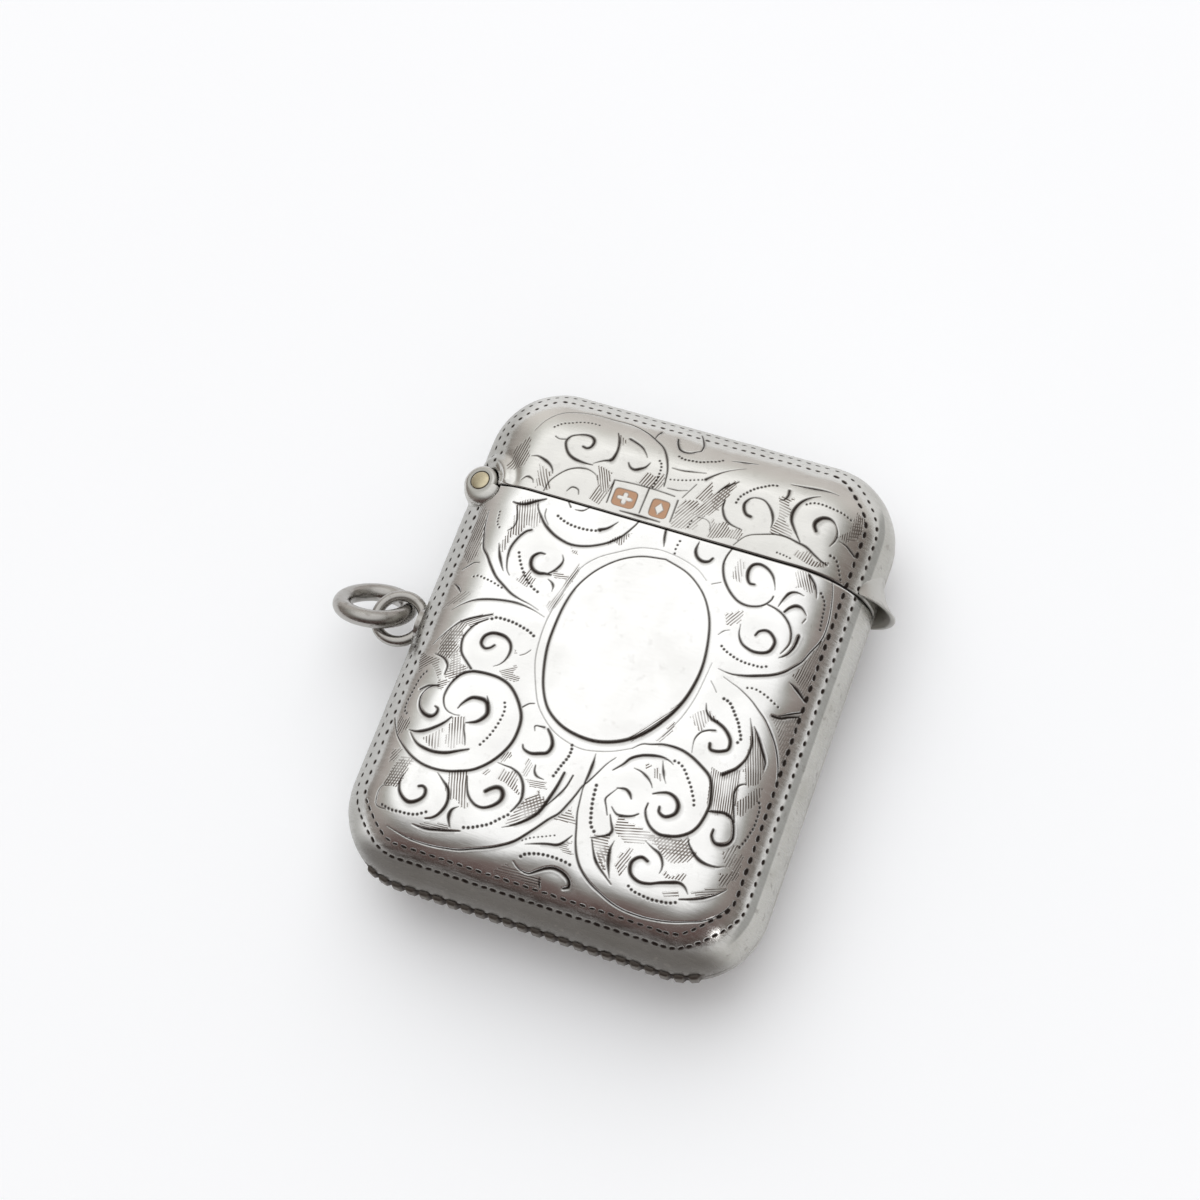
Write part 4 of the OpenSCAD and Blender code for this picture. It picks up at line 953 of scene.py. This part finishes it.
class Shading:
    """Short words for building the node tree of a material or a world."""

    def __init__(self, owner):
        owner.use_nodes = True
        self.tree = owner.node_tree
        self.coords = self.node("ShaderNodeTexCoord").outputs

    def put(self, source, socket):
        """Link a node's output to a socket, or set the socket to a constant."""
        if isinstance(source, bpy.types.NodeSocket):
            self.tree.links.new(source, socket)
        elif socket.type == "RGBA":
            socket.default_value = (*source, 1)
        else:
            socket.default_value = source

    def node(self, kind, sockets=None, **settings):
        """A node of a kind, with its settings and what goes into its sockets."""
        node = self.tree.nodes.new(kind)
        for key, value in settings.items():
            setattr(node, key, value)
        for key, value in (sockets or {}).items():
            self.put(value, node.inputs[key])
        return node

    def noise(self, scale, detail, vector=None, distortion=0.0):
        sockets = {"Scale": scale, "Detail": detail, "Distortion": distortion,
                   "Vector": vector or self.coords["Object"]}
        return self.node("ShaderNodeTexNoise", sockets).outputs["Fac"]

    def stretched(self, scale, turn):
        sockets = {"Scale": scale, "Rotation": turn, "Vector": self.coords["Object"]}
        return self.node("ShaderNodeMapping", sockets).outputs["Vector"]

    def span(self, value, low, high, to_low=0.0, to_high=1.0, kind="SMOOTHSTEP"):
        sockets = {"Value": value, "From Min": low, "From Max": high, "To Min": to_low, "To Max": to_high}
        return self.node("ShaderNodeMapRange", sockets, interpolation_type=kind).outputs["Result"]

    def math(self, operation, a, b=0.0, c=0.0):
        return self.node("ShaderNodeMath", {0: a, 1: b, 2: c}, operation=operation).outputs["Value"]

    def times(self, a, b):
        return self.math("MULTIPLY", a, b)

    def mix(self, factor, a, b, blend="MIX"):
        sockets = {"Factor": factor, "A": a, "B": b}
        return self.node("ShaderNodeMix", sockets, data_type="RGBA", blend_type=blend).outputs["Result"]

    def layer(self, name):
        return self.node("ShaderNodeAttribute", attribute_name=name).outputs["Fac"]

    def along(self, axis, low, high):
        """A soft step along an axis of the object, between two places in millimetres."""
        place = self.node("ShaderNodeSeparateXYZ", {"Vector": self.coords["Object"]}).outputs[axis]
        return self.span(place, low * MM, high * MM)

    def bump(self, height, strength, distance, before=None):
        sockets = {"Strength": strength, "Distance": distance * MM, "Height": height}
        if before:
            sockets["Normal"] = before
        return self.node("ShaderNodeBump", sockets).outputs["Normal"]


def line_shading(m):
    """How dark the fine parallel lines of the hatched patches are."""
    shading = None
    for layer, strength in (("lines", 0.95), ("cross", 0.7)):
        at = m.math("ADD", m.layer(layer + "_at"), m.times(m.noise(700.0, 1.0), 0.5))
        off = m.math("ABSOLUTE", m.math("SUBTRACT", m.math("FRACT", at), 0.5))
        line = m.times(m.span(off, 0.36, 0.14), m.span(m.layer(layer), 0.5, 0.95))
        line = m.times(line, m.span(m.noise(500.0, 2.0), 0.3, 0.6, strength * 0.4, strength))
        shading = m.math("MAXIMUM", shading, line) if shading else line
    return shading


def silver_material(name, tone, side_tone_and_shade, rough, engraved=False, hinge_side_darkening=0.0):
    """Worn silver, polished where rubbed; lower down duller, pitted and partly painted shade; soft tarnish in
    patches.
    """
    material = bpy.data.materials.new(name)
    m = Shading(material)
    patches = m.noise(230.0, 5.0, distortion=0.4)
    pits = m.noise(1500.0, 4.0)
    marks = m.noise(900.0, 3.0, m.stretched((1.0, 7.0, 1.0), (0, 0, 0.6)))
    # Lower down and in patches the colour turns to the side tone: partly duller worn metal, partly painted
    # shade of the sides
    low = m.along("Z", 11.7, 8.5)
    dull_and_shade = m.math("MULTIPLY_ADD", m.span(patches, 0.4, 0.7), 0.16, m.times(low, 0.85))
    colour = m.mix(m.math("MINIMUM", dull_and_shade, 1.0), tone, side_tone_and_shade)
    # The base wall darkens, most of all low down toward the back: tarnish and painted shade together
    base = m.times(m.along("Y", -18.6, -20.2), m.along("Z", 11.2, 9.6))
    colour = m.mix(m.times(base, 0.72), colour, BASE_TARNISH_AND_SHADE)
    colour = m.mix(m.times(m.times(base, m.along("Z", 5.0, 8.8)), 0.55), colour, LOW_BASE_TARNISH_AND_SHADE)
    pitted = m.times(m.span(pits, 0.6, 0.72), m.math("MULTIPLY_ADD", low, 0.4, 0.08))
    colour = m.mix(pitted, colour, PIT_TARNISH)
    roughness = m.math("ADD", m.span(marks, 0.3, 0.7, rough - 0.05, rough + 0.07), m.times(low, 0.12))
    normal = m.bump(marks, 0.04, 0.1, m.bump(pits, 0.05, 0.1))
    # Darker towards the hinge side
    if hinge_side_darkening:
        colour = m.mix(m.times(m.along("X", -13.4, -15.0), hinge_side_darkening), colour, HINGE_SIDE_GREY)
    if engraved:
        # A band below the border rows on the right side is darkened: a painted dark reflection
        painted_dark_band = m.times(m.along("Z", 10.0, 9.7), m.along("Z", 9.0, 9.25))
        painted_dark_band = m.times(painted_dark_band, m.along("X", 15.0, 15.7))
        colour = m.mix(m.times(painted_dark_band, 0.6), colour, RIGHT_BAND_PAINTED_REFLECTION)
        shading = line_shading(m)
        colour = m.mix(shading, colour, HATCH_TARNISH)
        colour = m.mix(m.layer("copper"), colour, COPPER)
        roughness = m.math("MULTIPLY_ADD", shading, 0.2, roughness)
        normal = m.bump(m.math("SUBTRACT", 1.0, shading), 0.25, 0.04, normal)
    # The cut layer holds tarnish in the cuts and painted shade at facets, the seam, the pin and the strip's
    # notches
    groove = m.layer("groove")
    colour = m.mix(m.math("POWER", groove, 1.3), colour, CUT_TARNISH_AND_SHADE)
    roughness = m.math("MULTIPLY_ADD", groove, 0.25, roughness)
    sockets = m.tree.nodes["Principled BSDF"].inputs
    sockets["Metallic"].default_value = 1.0
    for key, source in (("Base Color", colour), ("Roughness", roughness), ("Normal", normal)):
        m.put(source, sockets[key])
    return material


# Studio
# The tent's colours run from its floor to its roof, and a glow has its direction, the two cosines
# that it fades in between, and its colour.

TENT_TOP = (-0.1, 0.1, 0.99)
TENT_FLOOR, TENT_ROOF = (0.16, 0.12, 0.11), (1.06, 1.06, 1.06)
TENT_STOPS = (
    (0.5, (0.1, 0.078, 0.07)),
    (0.65, (0.12, 0.08, 0.074)),
    (0.75, (0.16, 0.125, 0.116)),
    (0.825, (0.235, 0.225, 0.21)),
    (0.875, (0.45, 0.445, 0.44)),
    (0.92, (0.78, 0.78, 0.775)),
    (0.945, (0.97, 0.97, 0.97)),
)
TENT_GLOWS = (
    ((-0.98, 0.2, 0.0), 0.1, 0.85, (0.21, 0.215, 0.2)),
    ((-0.1, 0.99, 0.0), 0.2, 0.9, (0.54, 0.54, 0.53)),
    ((0.95, 0.3, 0.0), 0.3, 0.95, (0.13, 0.133, 0.122)),
)
FLOOR_WHITE, LAMP_WHITE = (0.972, 0.98, 1.0), (0.965, 0.985, 1.0)


def make_tent():
    """The world, a white tent: bright above, dim round the sides, with three soft glows."""
    world = bpy.data.worlds.new("studio")
    bpy.context.scene.world = world
    w = Shading(world)

    def facing(direction, low, high, kind="SMOOTHSTEP"):
        """How far a direction of the tent turns toward the given one, 0 to 1 between two cosines."""
        sockets = {0: w.coords["Generated"], 1: Vector(direction).normalized()}
        turned = w.node("ShaderNodeVectorMath", sockets, operation="DOT_PRODUCT").outputs["Value"]
        return w.span(turned, low, high, kind=kind)

    ramp = w.node("ShaderNodeValToRGB", {"Fac": facing(TENT_TOP, -1.0, 1.0, "LINEAR")})
    stops = ramp.color_ramp.elements
    stops[0].color, stops[1].color = (*TENT_FLOOR, 1), (*TENT_ROOF, 1)
    for at, colour in TENT_STOPS:
        stops.new(at).color = (*colour, 1)
    colour = ramp.outputs["Color"]
    for direction, low, high, glow in TENT_GLOWS:
        colour = w.mix(facing(direction, low, high), colour, glow, "ADD")
    back = w.tree.nodes["Background"]
    w.put(colour, back.inputs["Color"])
    w.put(1.0, back.inputs["Strength"])


def make_floor():
    """A plain white floor that takes the shadow."""
    mesh = bpy.data.meshes.new("floor")
    s = 1.5
    mesh.from_pydata([(-s, -s, 0), (s, -s, 0), (s, s, 0), (-s, s, 0)], [], [(0, 1, 2, 3)])
    floor = bpy.data.objects.new("floor", mesh)
    floor.location.z = -0.00002
    bpy.context.scene.collection.objects.link(floor)
    material = bpy.data.materials.new("floor")
    material.use_nodes = True
    shader = material.node_tree.nodes["Principled BSDF"]
    shader.inputs["Base Color"].default_value = (*FLOOR_WHITE, 1)
    shader.inputs["Roughness"].default_value = 1.0
    shader.inputs["Specular IOR Level"].default_value = 0.0
    mesh.materials.append(material)


def softbox(name, place, size, power, colour=(1, 1, 1), seen=False):
    """A square lamp turned toward the case; only one that is seen shows in the metal."""
    data = bpy.data.lights.new(name, "AREA")
    data.shape = "RECTANGLE"
    data.size = data.size_y = size
    data.energy = power
    data.color = colour
    lamp = bpy.data.objects.new(name, data)
    lamp.location = place
    lamp.rotation_euler = (-Vector(place)).to_track_quat("-Z", "Y").to_euler()
    lamp.visible_glossy = seen
    bpy.context.scene.collection.objects.link(lamp)


def dress(piece, material, body, node):
    """Give a piece its look, tie it to the body and hide the node it stands for."""
    piece.data.materials.append(material)
    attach(piece, body)
    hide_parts(node)


bpy.context.scene.view_settings.view_transform = "Standard"
make_camera()
make_tent()
make_floor()
softbox("top", (-0.12, 0.3, 0.6), 0.8, 2.0, LAMP_WHITE)
softbox("fill", (0.3, -0.4, 0.5), 0.7, 0.85, LAMP_WHITE)
softbox("window", (0.46, -0.37, 0.12), 0.08, 0.08, seen=True)

# The darker side tone is partly wear and partly painted shade
SIDE_TONE_AND_SHADE = (0.43, 0.42, 0.385)
engraved = silver_material("engraved_silver", (0.93, 0.926, 0.914), SIDE_TONE_AND_SHADE, 0.16, True, 0.6)
# The lid's engraved silver is a darker copy of the body's: painted shade
engraved_lid_shaded = silver_material("engraved_lid_painted_shade", (0.725, 0.716, 0.688), SIDE_TONE_AND_SHADE, 0.18, True, 0.6)
plain = silver_material("plain_silver", (0.72, 0.705, 0.68), (0.49, 0.48, 0.45), 0.22, hinge_side_darkening=0.45)
# The knuckles' silvers are darker copies of the plain one: painted shade
bright = silver_material("knuckle_cap_silver_painted_shade", (0.6, 0.59, 0.563), (0.5, 0.49, 0.465), 0.22)
shaded_knuckle = silver_material("knuckle_silver_painted_shade", (0.54, 0.525, 0.495), (0.44, 0.425, 0.4), 0.24)
# The ring's silver, also on the chain loop and its pad, is a darker copy: painted shade
ring_silver = silver_material("ring_silver", (0.42, 0.405, 0.385), (0.43, 0.415, 0.395), 0.1)
worn = silver_material("worn_silver", (0.5, 0.48, 0.45), (0.36, 0.34, 0.315), 0.3)
brass = silver_material("brass", (0.62, 0.55, 0.39), (0.5, 0.44, 0.3), 0.28)
steel = silver_material("spring_steel", (0.36, 0.38, 0.42), (0.26, 0.27, 0.3), 0.3)

body_front = front_shell("body_front", -CORNER_Y - QUARTER, SEAM_Y, body_cut, SEAM_Y)
lid_front = front_shell("lid_front", LID_EDGE, CORNER_Y + QUARTER, lid_cut, LID_EDGE, lid_collar)
dress(body_front, engraved, "body", "body_front_shell")
dress(lid_front, engraved_lid_shaded, "lid", "lid_front_shell")
dress(knuckle_cap(), bright, "body", "body_knuckle_front")
dress(pin(), brass, "body", "hinge_pin")
dress(tab(), plain, "lid", "thumb_tab")
dress(striker(), worn, "body", "striker_strip")
dress(ring(), ring_silver, "ring", "chain_ring")

NODE_LOOKS = {"mouth_collar": worn, "spring_block": worn, "chain_loop": ring_silver, "loop_pad": ring_silver,
              "spring_rivets": brass, "closing_spring": steel, "lid_knuckle": shaded_knuckle,
              "body_knuckle_back": shaded_knuckle}
for node_name, node in nodes.items():
    node.data.materials.clear()
    node.data.materials.append(NODE_LOOKS.get(node_name, plain))
